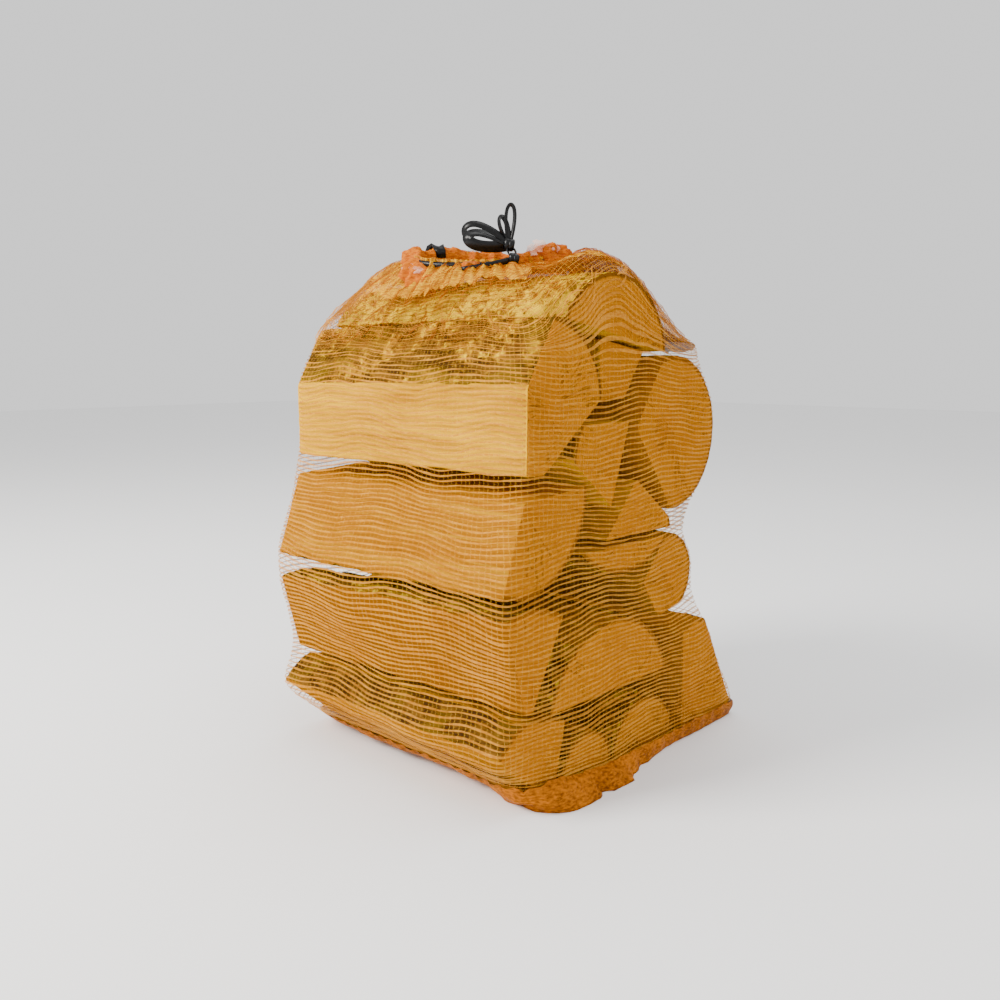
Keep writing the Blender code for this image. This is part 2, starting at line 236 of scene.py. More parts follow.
@dataclass(frozen=True)
class SplitWood:
    """The torn long faces of a log: pale fibres with tan streaks and dark slivers of shadow along the grain, and
    painted shade over the log whose tone is highest.
    """

    pale: tuple = (0.78, 0.425, 0.002, 1.0)
    tan: tuple = (0.36, 0.135, 0.002, 1.0)
    dark: tuple = (0.15, 0.052, 0.003, 1.0)
    # Painted shade: a dark tan laid over the split faces of the log with the highest tone, for the shade that log lies
    # in.
    wear_and_shade: tuple = (0.21, 0.068, 0.002, 1.0)

    def material(self) -> bpy.types.Material:
        """Build the material."""
        nodes = Nodes("split_wood")
        trunk = nodes.attribute("trunk", "Vector")
        tone = nodes.attribute("tone")
        along = nodes.stretched(trunk, (7.0, 130.0, 130.0))
        fine = nodes.stretched(trunk, (22.0, 620.0, 620.0))
        broad = nodes.clouds(along, 1.0, 3.0, 0.55, 0.4)
        fibre = nodes.clouds(fine, 1.0, 2.0, 0.6)
        patch = nodes.clouds(nodes.stretched(trunk, (9.0, 30.0, 30.0)), 1.0, 2.0, 0.5)
        # The tone value pushes the split faces towards tan: partly the log's own colour, partly painted shade on the
        # lower front logs.
        share = (broad * 1.1 + fibre * 0.6 + tone * 0.85 - 0.5).ramp(0.12, 1.0)
        colour = nodes.mix(share, self.pale, self.tan)
        sliver = (broad + fibre * 0.5).ramp(0.92, 1.12) * 0.75
        colour = nodes.mix(sliver, colour, self.dark)
        colour = nodes.mix((patch.ramp(0.5, 0.75)) * 0.35, colour, self.tan)
        # Painted shade: darkens the split faces of log_front_middle, the log with the highest tone, for the shade it
        # lies in.
        colour = nodes.mix(tone.ramp(0.75, 1.0) * 0.72, colour, self.wear_and_shade)
        nodes.bump(fibre * 0.5 + broad, 0.0011, 0.9)
        return nodes.finish(Base_Color=colour, Roughness=0.75, Specular_IOR_Level=0.0)


@dataclass(frozen=True)
class SawnEnd:
    """A sawn face: growth rings round the pith, fine rays and drying cracks, and a dark edge of bark."""

    sap: tuple = (0.56, 0.215, 0.003, 1.0)
    late: tuple = (0.38, 0.125, 0.003, 1.0)
    heart: tuple = (0.45, 0.15, 0.003, 1.0)
    crack: tuple = srgb(70, 40, 16)
    bark: tuple = srgb(84, 52, 24)

    def material(self) -> bpy.types.Material:
        """Build the material."""
        nodes = Nodes("sawn_end")
        trunk = nodes.attribute("trunk", "Vector")
        girth = nodes.attribute("girth")
        tone = nodes.attribute("tone")
        flat = nodes.add("ShaderNodeVectorMath", {"operation": "MULTIPLY"}, {0: trunk, 1: (0.0, 1.0, 1.0)})
        wander = nodes.clouds(flat, 26.0, 2.0, 0.5)
        radius = nodes.add("ShaderNodeVectorMath", {"operation": "LENGTH"}, {0: flat}, "Value")
        bent = radius + (wander - 0.5) * 0.010
        rings = (bent * 2600.0).sine() * 0.5 + 0.5
        grain = nodes.clouds(flat, 900.0, 2.0, 0.6)
        saw = nodes.clouds(nodes.stretched(trunk, (1.0, 60.0, 900.0)), 1.0, 2.0, 0.6)
        colour = nodes.mix(rings * 0.55 + grain * 0.25, self.sap, self.late)
        colour = nodes.mix((bent / girth).ramp(0.55, 0.2) * 0.6, colour, self.heart)
        parts = nodes.add("ShaderNodeSeparateXYZ", {}, {"Vector": flat})
        outputs = parts.socket.node.outputs
        turn = nodes.add("ShaderNodeMath", {"operation": "ARCTAN2"},
                         {0: Signal(nodes, outputs["Z"]), 1: Signal(nodes, outputs["Y"])})
        spokes = nodes.add("ShaderNodeCombineXYZ", {},
                           {"X": turn * 2.3 + tone * 9.0, "Y": bent * 9.0, "Z": girth * 40.0})
        split = nodes.clouds(spokes, 2.4, 3.0, 0.5, 0.2)
        line = ((split - 0.5) ** 2.0).ramp(0.00025, 0.0) * nodes.clouds(flat, 30.0, 1.0).ramp(0.46, 0.6)
        colour = nodes.mix(line * 0.4, colour, self.crack)
        edge = ((girth - radius) + (wander - 0.5) * 0.003).ramp(0.0048, 0.0030)
        colour = nodes.mix(edge * 0.85, colour, self.bark)
        # The tone value darkens the sawn end: partly the log's own colour, partly painted shade.
        colour = nodes.mix(tone * 0.5, colour, self.late)
        nodes.bump(rings * 0.25 + grain * 0.4 + saw * 0.6 - line * 3.0, 0.0006, 0.9)
        return nodes.finish(Base_Color=colour, Roughness=0.8, Specular_IOR_Level=0.0)


@dataclass(frozen=True)
class Bark:
    """The outside of the trunk: grey-brown plates with dark furrows, warm inner bark and patches of pale growth."""

    plate: tuple = (0.22, 0.10, 0.012, 1.0)
    furrow: tuple = (0.06, 0.027, 0.007, 1.0)
    warm: tuple = (0.50, 0.235, 0.003, 1.0)
    growth: tuple = (0.98, 0.67, 0.003, 1.0)
    olive: tuple = (0.24, 0.135, 0.006, 1.0)

    def material(self) -> bpy.types.Material:
        """Build the material."""
        nodes = Nodes("bark")
        trunk = nodes.attribute("trunk", "Vector")
        tone = nodes.attribute("tone")
        moss_and_light = nodes.attribute("moss_and_light")
        along = nodes.stretched(trunk, (34.0, 95.0, 95.0))
        rough = nodes.clouds(along, 1.0, 4.0, 0.62, 0.6)
        fine = nodes.clouds(nodes.stretched(trunk, (180.0, 420.0, 420.0)), 1.0, 3.0, 0.6)
        patch = nodes.clouds(trunk, 42.0, 3.0, 0.55)
        mottle = nodes.clouds(trunk, 150.0, 3.0, 0.65, 0.8)
        colour = nodes.mix(rough.ramp(0.42, 0.62), self.furrow, self.plate)
        # The moss value raises the warm bark and the pale growth in the next two mixes: partly lichen, partly painted
        # light that brightens the lit crown log.
        colour = nodes.mix((patch + mottle * 0.6 + moss_and_light * 0.24).ramp(0.78, 0.98) * 0.85, colour, self.warm)
        colour = nodes.mix((mottle + patch * 0.6 + moss_and_light * 0.18).ramp(0.90, 1.06) * 0.95, colour, self.growth)
        colour = nodes.mix((mottle + fine * 0.4).ramp(0.66, 0.54) * 0.65, colour, self.furrow)
        colour = nodes.mix(nodes.clouds(trunk, 26.0, 2.0, 0.5, 0.5).ramp(0.5, 0.64) * 0.6, colour, self.olive)
        # The tone value darkens the bark: partly the log's own colour, partly painted shade.
        colour = nodes.mix(tone * 0.35, colour, self.furrow)
        nodes.bump(rough + fine * 0.35, 0.0024, 0.9)
        return nodes.finish(Base_Color=colour, Roughness=0.85, Specular_IOR_Level=0.0)


@dataclass(frozen=True)
class NetYarn:
    """The bag's knitted plastic tape: orange, a little shiny, thin enough that wood shows through it."""

    name: str = "net_yarn"
    deep: tuple = (0.44, 0.15, 0.004, 1.0)
    bright: tuple = (0.70, 0.31, 0.034, 1.0)
    alpha: float = 0.68
    roughness: float = 0.42
    shine: float = 0.05
    crinkle: float = 0.0003

    def material(self) -> bpy.types.Material:
        """Build the material."""
        nodes = Nodes(self.name)
        spot = nodes.add("ShaderNodeTexCoord", {}, {}, "Object")
        broad = nodes.clouds(spot, 22.0, 2.0, 0.5)
        fine = nodes.clouds(nodes.stretched(spot, (260.0, 260.0, 700.0)), 1.0, 2.0, 0.5)
        colour = nodes.mix((broad * 0.6 + fine * 0.9).ramp(0.45, 1.05), self.deep, self.bright)
        nodes.bump(fine + broad, self.crinkle, 0.8)
        return nodes.finish(Base_Color=colour, Roughness=self.roughness, Alpha=self.alpha,
                            Specular_IOR_Level=self.shine)


@dataclass(frozen=True)
class TapeFinish:
    """The drawstring's smooth black tape, with lengthwise draw marks."""

    black: tuple = srgb(12, 12, 13)
    # The lighter grey of the draw marks, the tape's own colour.
    wear_and_shade: tuple = srgb(38, 37, 39)

    def material(self) -> bpy.types.Material:
        """Build the material."""
        nodes = Nodes("black_tape")
        spot = nodes.add("ShaderNodeTexCoord", {}, {}, "Object")
        marks = nodes.clouds(spot, 700.0, 2.0, 0.6)
        colour = nodes.mix(marks.ramp(0.55, 0.8) * 0.5, self.black, self.wear_and_shade)
        nodes.bump(marks, 0.0002, 0.5)
        return nodes.finish(Base_Color=colour, Roughness=marks * 0.2 + 0.22, Specular_IOR_Level=0.22)


@dataclass(frozen=True)
class FloorFinish:
    """A plain pale floor."""

    shade: tuple = srgb(246, 246, 246)
    patch: tuple = srgb(240, 240, 240)

    def material(self) -> bpy.types.Material:
        """Build the material."""
        nodes = Nodes("pale_floor")
        spot = nodes.add("ShaderNodeTexCoord", {}, {}, "Object")
        colour = nodes.mix(nodes.clouds(spot, 3.0) * 0.3, self.shade, self.patch)
        return nodes.finish(Base_Color=colour, Roughness=0.9, Specular_IOR_Level=0.1)


@dataclass(frozen=True)
class Log:
    """A length of round trunk split by flat cuts, as the solid model has it, with the roughness of real wood.

    pith is the middle of the trunk in (y, z); each flat is the direction it faces, in degrees from +Y towards +Z, and
    its distance from the pith. ends are the x of the far and the near sawn face, and square is how far the near face
    leans per centimetre of y and of z. The far end is the near outline scaled by taper and moved by shift. barky
    lists the flats that still carry bark. tone darkens the wood: partly its own colour, partly painted shade on the
    lower front logs. moss adds growth to the bark: partly lichen, partly painted light on the lit crown log.
    """

    name: str
    pith: tuple
    radius: float
    flats: tuple
    ends: tuple
    square: tuple
    taper: float
    shift: tuple
    tone: float
    moss_and_light: float = 0.15
    barky: tuple = ()

    def outline(self) -> list[tuple[float, float]]:
        """The near end round its pith in (y, z): a circle with its flat cuts taken off."""
        outline = []
        for step in range(TRUNK_SIDES):
            turn = 2.0 * math.pi * (step + 0.5) / TRUNK_SIDES
            outline.append((self.radius * math.cos(turn), self.radius * math.sin(turn)))
        for angle, distance in self.flats:
            facing = (math.cos(math.radians(angle)), math.sin(math.radians(angle)))
            kept = []
            for start, end in zip(outline, outline[1:] + outline[:1]):
                over_start = start[0] * facing[0] + start[1] * facing[1] - distance
                over_end = end[0] * facing[0] + end[1] * facing[1] - distance
                if over_start <= 0.0:
                    kept.append(start)
                if (over_start <= 0.0) != (over_end <= 0.0):
                    share = over_start / (over_start - over_end)
                    kept.append((start[0] + share * (end[0] - start[0]), start[1] + share * (end[1] - start[1])))
            outline = kept
        tidy = []
        for point in outline:
            if not tidy or math.dist(point, tidy[-1]) > CORNER_GAP:
                tidy.append(point)
        if math.dist(tidy[0], tidy[-1]) < CORNER_GAP:
            tidy.pop()
        return tidy

    def spot(self, y: float, z: float, share: float) -> tuple[float, float, float]:
        """A point of the log: y and z from the pith at the near end, share 0 at the far face and 1 at the near."""
        lean = self.square[0] * y + self.square[1] * z
        near = (self.ends[1] + lean, self.pith[0] + y, self.pith[1] + z)
        far = (self.ends[0] - 0.7 * lean, self.pith[0] + self.taper * y + self.shift[0],
               self.pith[1] + self.taper * z + self.shift[1])
        return tuple(a + share * (b - a) for a, b in zip(far, near))

    def faces(self) -> tuple[list, list]:
        """The corner points of the far and the near sawn face."""
        outline = self.outline()
        return [self.spot(y, z, 0.0) for y, z in outline], [self.spot(y, z, 1.0) for y, z in outline]


@dataclass
class LogPiece:
    """One split log as a fine mesh with torn split faces, rough bark and sawn ends.

    step is the spacing of its points round the log and station along it, in centimetres.
    """

    log: Log
    looks: list
    step: float = 0.38
    station: float = 0.6

    def _round(self) -> list[tuple[float, float, float, float, bool]]:
        """Points round the log: y, z, the outward direction and whether the point is on bark."""
        outline = self.log.outline()
        points = []
        for start, end in zip(outline, outline[1:] + outline[:1]):
            length = math.dist(start, end)
            middle = math.hypot((start[0] + end[0]) / 2.0, (start[1] + end[1]) / 2.0)
            facing = ((end[1] - start[1]) / length, (start[0] - end[0]) / length)
            turn = math.degrees(math.atan2(facing[1], facing[0]))
            kept = any(abs((turn - angle + 180.0) % 360.0 - 180.0) < 2.0 for angle in self.log.barky)
            bark = kept or middle > 0.985 * self.log.radius
            count = max(1, round(length / self.step))
            for index in range(count):
                share = (index + 0.5) / count
                y, z = (a + share * (b - a) for a, b in zip(start, end))
                if bark and not kept:
                    grow = self.log.radius / math.hypot(y, z)
                    grow = 1.0 + (grow - 1.0) * 0.8
                    y, z = y * grow, z * grow
                points.append((y, z, facing[0], facing[1], bark))
        return points

    def _relief(self, x: float, y: float, z: float, bark: bool) -> float:
        """How far a point of the long faces lies out of the plain shape, in centimetres; never far outwards."""
        seed = 7.0 * self.log.pith[0] + 3.0 * self.log.pith[1]
        if bark:
            plates = noise.fractal(Vector((x / 2.2 + seed, y / 1.0, z / 1.0)), 0.6, 2.1, 4)
            furrow = abs(noise.noise(Vector((x / 3.4 + seed, y / 0.7, z / 0.7))))
            return 0.02 + 0.10 * plates - 0.22 * max(0.0, 0.22 - furrow) / 0.22
        sweep = noise.noise(Vector((x / 9.0 + seed, y / 2.2, z / 2.2)))
        ridge = abs(noise.noise(Vector((x / 7.0 + seed, y / 0.55, z / 0.55))))
        fibre = noise.noise(Vector((x / 2.6, y / 0.2 + seed, z / 0.2)))
        return 0.02 + 0.14 * min(sweep, 0.1) - 0.20 * ridge + 0.05 * fibre

    def build(self) -> bpy.types.Object:
        """Make the log's object.

        Returns:
            The finished object, with a material for each kind of surface.
        """
        log = self.log
        ring = self._round()
        around = len(ring)
        stations = max(8, round((log.ends[1] - log.ends[0]) / self.station))
        bm = bmesh.new()
        skin = bm.verts.layers.float.new("skin")
        bmesh.ops.create_grid(bm, x_segments=stations, y_segments=around, size=1.0)
        for vert in bm.verts:
            share = (vert.co.x + 1.0) / 2.0
            y, z, out_y, out_z, bark = ring[round((vert.co.y + 1.0) / 2.0 * around) % around]
            x = log.ends[0] + share * (log.ends[1] - log.ends[0])
            edge = min(1.0, min(share, 1.0 - share) * 18.0)
            lift = self._relief(x, log.pith[0] + y, log.pith[1] + z, bark) * (0.35 + 0.65 * edge) - 0.05 * (1.0 - edge)
            vert[skin] = float(bark)
            vert.co = place(log.spot(y + out_y * lift, z + out_z * lift, share))
            vert.co.z = max(vert.co.z, LOWEST)
        bmesh.ops.remove_doubles(bm, verts=bm.verts, dist=SAME_POINT)
        rims = [edge for edge in bm.edges if edge.is_boundary]
        bmesh.ops.holes_fill(bm, edges=rims, sides=0)
        bmesh.ops.recalc_face_normals(bm, faces=bm.faces)
        bmesh.ops.triangulate(bm, faces=[face for face in bm.faces if len(face.verts) > 4])
        trunk = bm.verts.layers.float_vector.new("trunk")
        girth = bm.verts.layers.float.new("girth")
        tone = bm.verts.layers.float.new("tone")
        moss_and_light = bm.verts.layers.float.new("moss_and_light")
        for vert in bm.verts:
            share = (vert.co.x / CM + ORIGIN[0] - log.ends[0]) / (log.ends[1] - log.ends[0])
            scale = log.taper + share * (1.0 - log.taper)
            y = vert.co.y / CM + ORIGIN[1] - log.pith[0] - (1.0 - share) * log.shift[0]
            z = vert.co.z / CM - log.pith[1] - (1.0 - share) * log.shift[1]
            vert[trunk] = Vector((vert.co.x + 0.3 * log.tone, y * CM / scale, z * CM / scale))
            vert[girth] = log.radius * CM
            vert[tone] = log.tone
            vert[moss_and_light] = log.moss_and_light
        for face in bm.faces:
            if abs(face.normal.x) > 0.9:
                face.material_index = Kind.SAWN.value
                continue
            rough = sum(vert[skin] for vert in face.verts) / len(face.verts)
            face.material_index = Kind.BARK.value if rough > 0.5 else Kind.SPLIT.value
        piece = linked(log.name + "_wood", bm, self.looks)
        piece.data.set_sharp_from_angle(angle=SHARP_EDGE)
        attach(piece, "root")
        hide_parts(log.name)
        return piece


@dataclass
class WoodStack:
    """All the logs in the bag."""

    logs: tuple = (
        Log("log_front_top", (-11.5, 29.7), 6.5, ((180, 1.9), (150, 2.4), (-90, 4.8), (-52, 3.8)),
            (-12.5, 14.0), (0.012, 0.010), 0.97, (-0.1, -0.25), 0.05, 0.1, (150,)),
        # tone raised partly as painted shade: the lower front logs get less light.
        Log("log_front_upper", (-13.3, 23.2), 7.0, ((161, 0.1), (94, 0.0)),
            (-12.6, 13.8), (-0.010, 0.008), 1.04, (-0.1, 0.0), 0.62),
        # tone at its highest as painted shade, for the shade this log lies in.
        Log("log_front_middle", (-13.2, 7.6), 7.9, ((195, 0.3), (-28, 0.3), (-90, -0.2)),
            (-12.2, 14.1), (0.008, -0.014), 0.92, (-0.7, -0.1), 1.0),
        Log("log_front_bottom", (-11.0, 1.3), 6.2, ((230, 0.32), (-90, 1.0), (-12, 1.5), (78, 5.2)),
            (-12.4, 13.6), (0.010, 0.012), 0.96, (-0.1, -0.01), 0.6, -0.5),
        # moss raised partly as painted light on this lit top log.
        Log("log_crown", (-3.3, 32.6), 6.9, ((261, -2.08),),
            (-12.4, 13.9), (0.006, 0.010), 0.99, (0.0, 0.0), 0.2, 1.0),
        Log("log_filler_upper", (-1.2, 30.0), 5.7, ((-88, 0.1), (-33, 0.8), (180, 2.4), (81, 4.2)),
            (-11.8, 12.7), (0.010, 0.0), 0.95, (0.0, 0.0), 0.35),
        Log("log_back_round", (5.0, 27.0), 6.4, ((217, 3.9), (147, 4.9)),
            (-12.3, 13.9), (-0.010, 0.006), 0.98, (0.05, 0.0), 0.65),
        Log("log_centre_wedge", (-2.6, 25.2), 5.3, ((90, 3.1), (-19, 0.6), (230, 3.1)),
            (-12.2, 13.7), (0.012, -0.010), 0.99, (-0.6, 0.0), 0.3),
        Log("log_centre_half", (-0.6, 18.6), 5.5, ((-90, -0.6), (139, 3.2), (54, 4.3)),
            (-12.5, 14.0), (-0.008, 0.014), 0.96, (0.0, 0.0), 0.4),
        Log("log_centre_slab", (-1.4, 24.8), 8.5, ((90, -6.15),),
            (-12.4, 14.1), (0.006, 0.012), 1.10, (0.0, 0.0), 0.5),
        Log("log_back_middle", (5.6, 14.8), 3.7, ((215, 2.9), (-80, 3.2), (140, 2.6)),
            (-12.0, 13.2), (0.012, 0.008), 0.96, (0.0, 0.0), 0.5),
        Log("log_low_half", (-2.9, 4.8), 8.1, ((-90, -2.1), (104, 7.7)),
            (-12.4, 13.8), (-0.006, 0.012), 1.10, (0.0, 0.0), 0.6),
        Log("log_back_bottom", (8.2, 3.0), 7.6, ((180, 0.9), (105, 6.6), (28, 5.7), (-90, 2.7)),
            (-12.5, 14.0), (0.010, -0.008), 0.98, (0.0, -0.01), 0.75),
        Log("log_floor_small", (-5.8, 1.2), 3.2, ((-90, 0.9), (70, 3.0)),
            (-12.1, 13.7), (0.0, 0.012), 0.96, (0.0, -0.01), 0.5),
        Log("log_floor_round", (2.3, 0.5), 4.5, ((-90, 0.2),),
            (-12.3, 13.4), (0.008, 0.010), 0.97, (0.0, 0.0), 0.32),
    )

    def build(self) -> list[bpy.types.Object]:
        """Make every log, all with the same three finishes."""
        looks = [SplitWood().material(), Bark().material(), SawnEnd().material()]
        return [LogPiece(log, looks).build() for log in self.logs]


@dataclass
class Neck:
    """The oval that the mouth is gathered to, whose long way runs from the front left to the back right."""

    centre: tuple = (-1.0, -0.9)
    long_half: float = 6.6
    short_half: float = 3.3
    turn: float = 43.0

    def height(self, turn: float) -> float:
        """The neck's height: 0 is the back right end, 90 degrees the back, 270 degrees the front."""
        wave = 0.22 * math.cos(2.0 * (turn - math.radians(45.0)))
        return 40.72 - 0.18 * math.cos(turn) + 0.58 * math.sin(turn) - wave

    def point(self, turn: float, out: float, up: float) -> tuple[float, float, float]:
        """A point of the oval, moved outwards and upwards."""
        long_way = (self.long_half + out) * math.cos(turn)
        short_way = (self.short_half + out) * math.sin(turn)
        lean = math.radians(self.turn)
        x = self.centre[0] + long_way * math.cos(lean) - short_way * math.sin(lean)
        y = self.centre[1] + long_way * math.sin(lean) + short_way * math.cos(lean)
        return (x, y, self.height(turn) + up)


@dataclass
class BagShape:
    """The surface that the net is stretched over, as rows of points from the floor to the neck.

    Lengths are in centimetres. The net stands off the wood by clearance and is pulled straight over hollows lower than
    span. Above side_top it runs as a tent to the neck. middle is the point that its columns are seen from. The tent
    lies on the hull of the wood above hull_from and of the neck, found by rays down from ray_start between ray_ends.
    Its front and back edges are searched from a start in steps, at the x of the probes. The lowest row is tucked in.
    """

    logs: tuple
    neck: Neck
    clearance: float = 0.22
    side_top: float = 34.0
    side_rows: int = 44
    tent_rows: int = 15
    middle: tuple = (0.8, -0.5)
    span: float = 2.7
    side_columns: int = 24
    corner_columns: int = 4
    corner_radius: float = 0.9
    hull_from: float = 24.0
    hull_steps: int = 36
    ray_start: float = 80.0
    ray_ends: tuple = (-12.3, 13.8)
    probes: tuple = (-12.2, 0.0, 13.6)
    front_search: tuple = (-13.5, 0.05)
    back_search: tuple = (10.5, -0.05)
    tuck: float = 0.25
    lowest_row: float = 0.05
    tree: Optional[BVHTree] = field(default=None, repr=False)
    shoulder: tuple = field(default=(), repr=False)
    turns: list = field(default_factory=list, repr=False)
    grid: np.ndarray = field(default=None, repr=False)
    headings: np.ndarray = field(default=None, repr=False)
    row_length: np.ndarray = field(default=None, repr=False)
    column_length: np.ndarray = field(default=None, repr=False)

    def __post_init__(self) -> None:
        """Work out the grid and the lengths along it."""
        side = self._side()
        grid = np.array(side + self._tent(side))
        for _ in range(2):
            smooth = (np.roll(grid, 1, axis=1) + 2.0 * grid + np.roll(grid, -1, axis=1)) / 4.0
            grid = 0.5 * grid + 0.5 * smooth
            grid[2:-1] = 0.5 * grid[2:-1] + 0.25 * (grid[1:-2] + grid[3:])
        self.grid = grid
        steps = np.linalg.norm(np.diff(grid, axis=0), axis=2).mean(axis=1)
        self.row_length = np.concatenate(([0.0], np.cumsum(steps)))
        around = np.linalg.norm(np.roll(grid, -1, axis=1) - grid, axis=2)[: self.side_rows].mean(axis=0)
        self.column_length = np.concatenate(([0.0], np.cumsum(around)))

    def _wood(self, low: float, high: float) -> np.ndarray:
        """The points in (x, y) where the edges of the logs' ends lie between two heights."""
        found = []
        for log in self.logs:
            for face in log.faces():
                for start, end in zip(face, face[1:] + face[:1]):
                    if low <= start[2] <= high:
                        found.append(start[:2])
                    for level in (low, high):
                        if (start[2] - level) * (end[2] - level) < 0.0:
                            share = (level - start[2]) / (end[2] - start[2])
                            found.append(tuple(a + share * (b - a) for a, b in zip(start[:2], end[:2])))
        return np.array(found)

    def _girth(self, spots: np.ndarray) -> np.ndarray:
        """How far the net stretched round some points stands from the middle, in each column's direction."""
        turns = np.radians(np.arange(0.0, 360.0, 2.5))
        normals = np.stack((np.cos(turns), np.sin(turns)))
        reach = ((spots - np.array(self.middle)) @ normals).max(axis=0) + self.clearance
        facing = self.headings @ normals
        limit = np.where(facing > 0.02, reach / np.maximum(facing, 0.02), np.inf)
        return limit.min(axis=1)

    def _pulled(self, heights: list[float], girths: list[np.ndarray]) -> list[np.ndarray]:
        """The girths pulled straight over hollows that are lower than the span."""
        made = []
        for index, height in enumerate(heights):
            pulled = girths[index].copy()
            for below in range(index):
                for above in range(index + 1, len(heights)):
                    if heights[above] - heights[below] <= self.span:
                        share = (height - heights[below]) / (heights[above] - heights[below])
                        pulled = np.maximum(pulled, girths[below] + share * (girths[above] - girths[below]))
            made.append(pulled)
        return made

    def _loop(self, bounds: Sequence[float]) -> list[tuple[float, float]]:
        """Points round a rounded rectangle, from the near front corner to the back, the far side and the front."""
        far, near, front, back = bounds
        radius = self.corner_radius
        corners = ((near, front, -90.0, -1, 1), (near, back, 0.0, -1, -1),
                   (far, back, 90.0, 1, -1), (far, front, 180.0, 1, 1))
        rounds = []
        for x, y, start, in_x, in_y in corners:
            for step in range(self.corner_columns):
                turn = math.radians(start + 90.0 * step / (self.corner_columns - 1))
                rounds.append((x + radius * (in_x + math.cos(turn)), y + radius * (in_y + math.sin(turn))))
        loop = []
        for corner in range(4):
            arc = rounds[corner * self.corner_columns:(corner + 1) * self.corner_columns]
            loop.extend(arc)
            start, end = arc[-1], rounds[((corner + 1) * self.corner_columns) % len(rounds)]
            for step in range(1, self.side_columns + 1):
                share = step / (self.side_columns + 1)
                loop.append((start[0] + share * (end[0] - start[0]), start[1] + share * (end[1] - start[1])))
        return loop

    def _side(self) -> list[list[tuple[float, float, float]]]:
        """Rows up the sides of the stack."""
        self.tree = self._stretched_top()
        everything = self._wood(0.0, self.side_top)
        low, high = everything.min(axis=0), everything.max(axis=0)
        loop = self._loop((low[0], high[0], low[1], high[1]))
        self.headings = np.array(loop) - np.array(self.middle)
        self.headings /= np.linalg.norm(self.headings, axis=1, keepdims=True)
        step = self.side_top / self.side_rows
        heights = [step * index for index in range(self.side_rows + 1)]
        girths = [self._girth(self._wood(max(h - 0.7 * step, 0.0), max(h + 0.7 * step, 0.7))) for h in heights]
        last = self._wood(self.side_top - 0.5, self.side_top + 0.5)
        self.shoulder = (last[:, 0].min(), last[:, 0].max(), self._edge(*self.front_search),
                         self._edge(*self.back_search))
        girths[-1] = self._girth(np.array([(x, y) for x in self.shoulder[:2] for y in self.shoulder[2:]]))
        rows = []
        for height, girth in zip(heights, self._pulled(heights, girths)):
            flat = np.array(self.middle) + self.headings * (girth - (self.tuck if height == 0.0 else 0.0))[:, None]
            rows.append([(x, y, max(height, self.lowest_row)) for x, y in flat])
        return rows

    def _stretched_top(self) -> BVHTree:
        """The hull of the upper logs and the neck, to drop rays on."""
        bm = bmesh.new()
        for log in self.logs:
            for face in log.faces():
                for point in face:
                    if point[2] > self.hull_from:
                        bm.verts.new(point)
        for step in range(self.hull_steps):
            bm.verts.new(self.neck.point(2.0 * math.pi * step / self.hull_steps, 0.0, 0.0))
        hull = bmesh.ops.convex_hull(bm, input=bm.verts)
        spare = [item for item in hull["geom_interior"] if isinstance(item, bmesh.types.BMVert)]
        bmesh.ops.delete(bm, geom=spare, context="VERTS")
        tree = BVHTree.FromBMesh(bm)
        bm.free()
        return tree

    def _top(self, x: float, y: float) -> Optional[float]:
        """The height of the stretched top over a point, or None beside it."""
        start = Vector((min(max(x, self.ray_ends[0]), self.ray_ends[1]), y, self.ray_start))
        hit = self.tree.ray_cast(start, Vector((0.0, 0.0, -1.0)))
        return hit[0].z if hit[0] is not None else None

    def _puff(self, x: float, y: float) -> float:
        """How far the slack net stands off the stretched top: one puff at each end of the crown log."""
        near = 1.35 * math.exp(-((x - 11.0) / 2.2) ** 2 - ((y + 2.6) / 3.2) ** 2)
        far = 1.15 * math.exp(-((x + 9.4) / 2.6) ** 2 - ((y + 5.0) / 3.0) ** 2)
        return near + far

    def _edge(self, start: float, step: float) -> float:
        """The y, going in from start, where the stretched top first reaches the shoulder's height."""
        y = start
        while max(self._top(x, y) or 0.0 for x in self.probes) < self.side_top:
            y += step
        return y

    def _turns(self, base: list[tuple[float, float]]) -> list[float]:
        """Where each column meets the neck, as an angle that keeps the columns in order."""
        turns = []
        for index, (x, y) in enumerate(base):
            seen = math.atan2(y - self.neck.centre[1], x - self.neck.centre[0]) - math.radians(self.neck.turn)
            even = 2.0 * math.pi * (index - 1.5) / len(base) - math.radians(45.0) - math.radians(self.neck.turn)
            seen += 2.0 * math.pi * round((even - seen) / (2.0 * math.pi))
            turns.append(0.5 * seen + 0.5 * even)
        return turns

    def _tent(self, side: list) -> list[list[tuple[float, float, float]]]:
        """Rows from the shoulder, the last of the sides, over the top to the neck and a little way up the gathers."""
        base = [(x, y) for x, y, _ in side[-1]]
        self.turns = self._turns(base)
        rows = []
        for index in range(1, self.tent_rows + 1):
            share = ((index - 1) / (self.tent_rows - 1)) ** 1.15
            row = []
            for (x, y), turn in zip(base, self.turns):
                neck = self.neck.point(turn, 0.0, 0.0)
                plan_x, plan_y = x + share * (neck[0] - x), y + share * (neck[1] - y)
                inner_y = min(max(plan_y, self.shoulder[2] + 0.1), self.shoulder[3] - 0.1)
                height = self._top(plan_x, inner_y)
                puff = (1.0 - share ** 4) * self._puff(plan_x, plan_y)
                height = neck[2] if height is None or share == 1.0 else height + self.clearance * (1.0 - share) + puff
                row.append((plan_x, plan_y, max(height, self.side_top + 0.3 + share)))
            rows.append(row)
        rows.append([self.neck.point(turn, -0.35, 0.7) for turn in self.turns])
        rows.append([self.neck.point(turn, -0.25, 1.2) for turn in self.turns])
        return rows

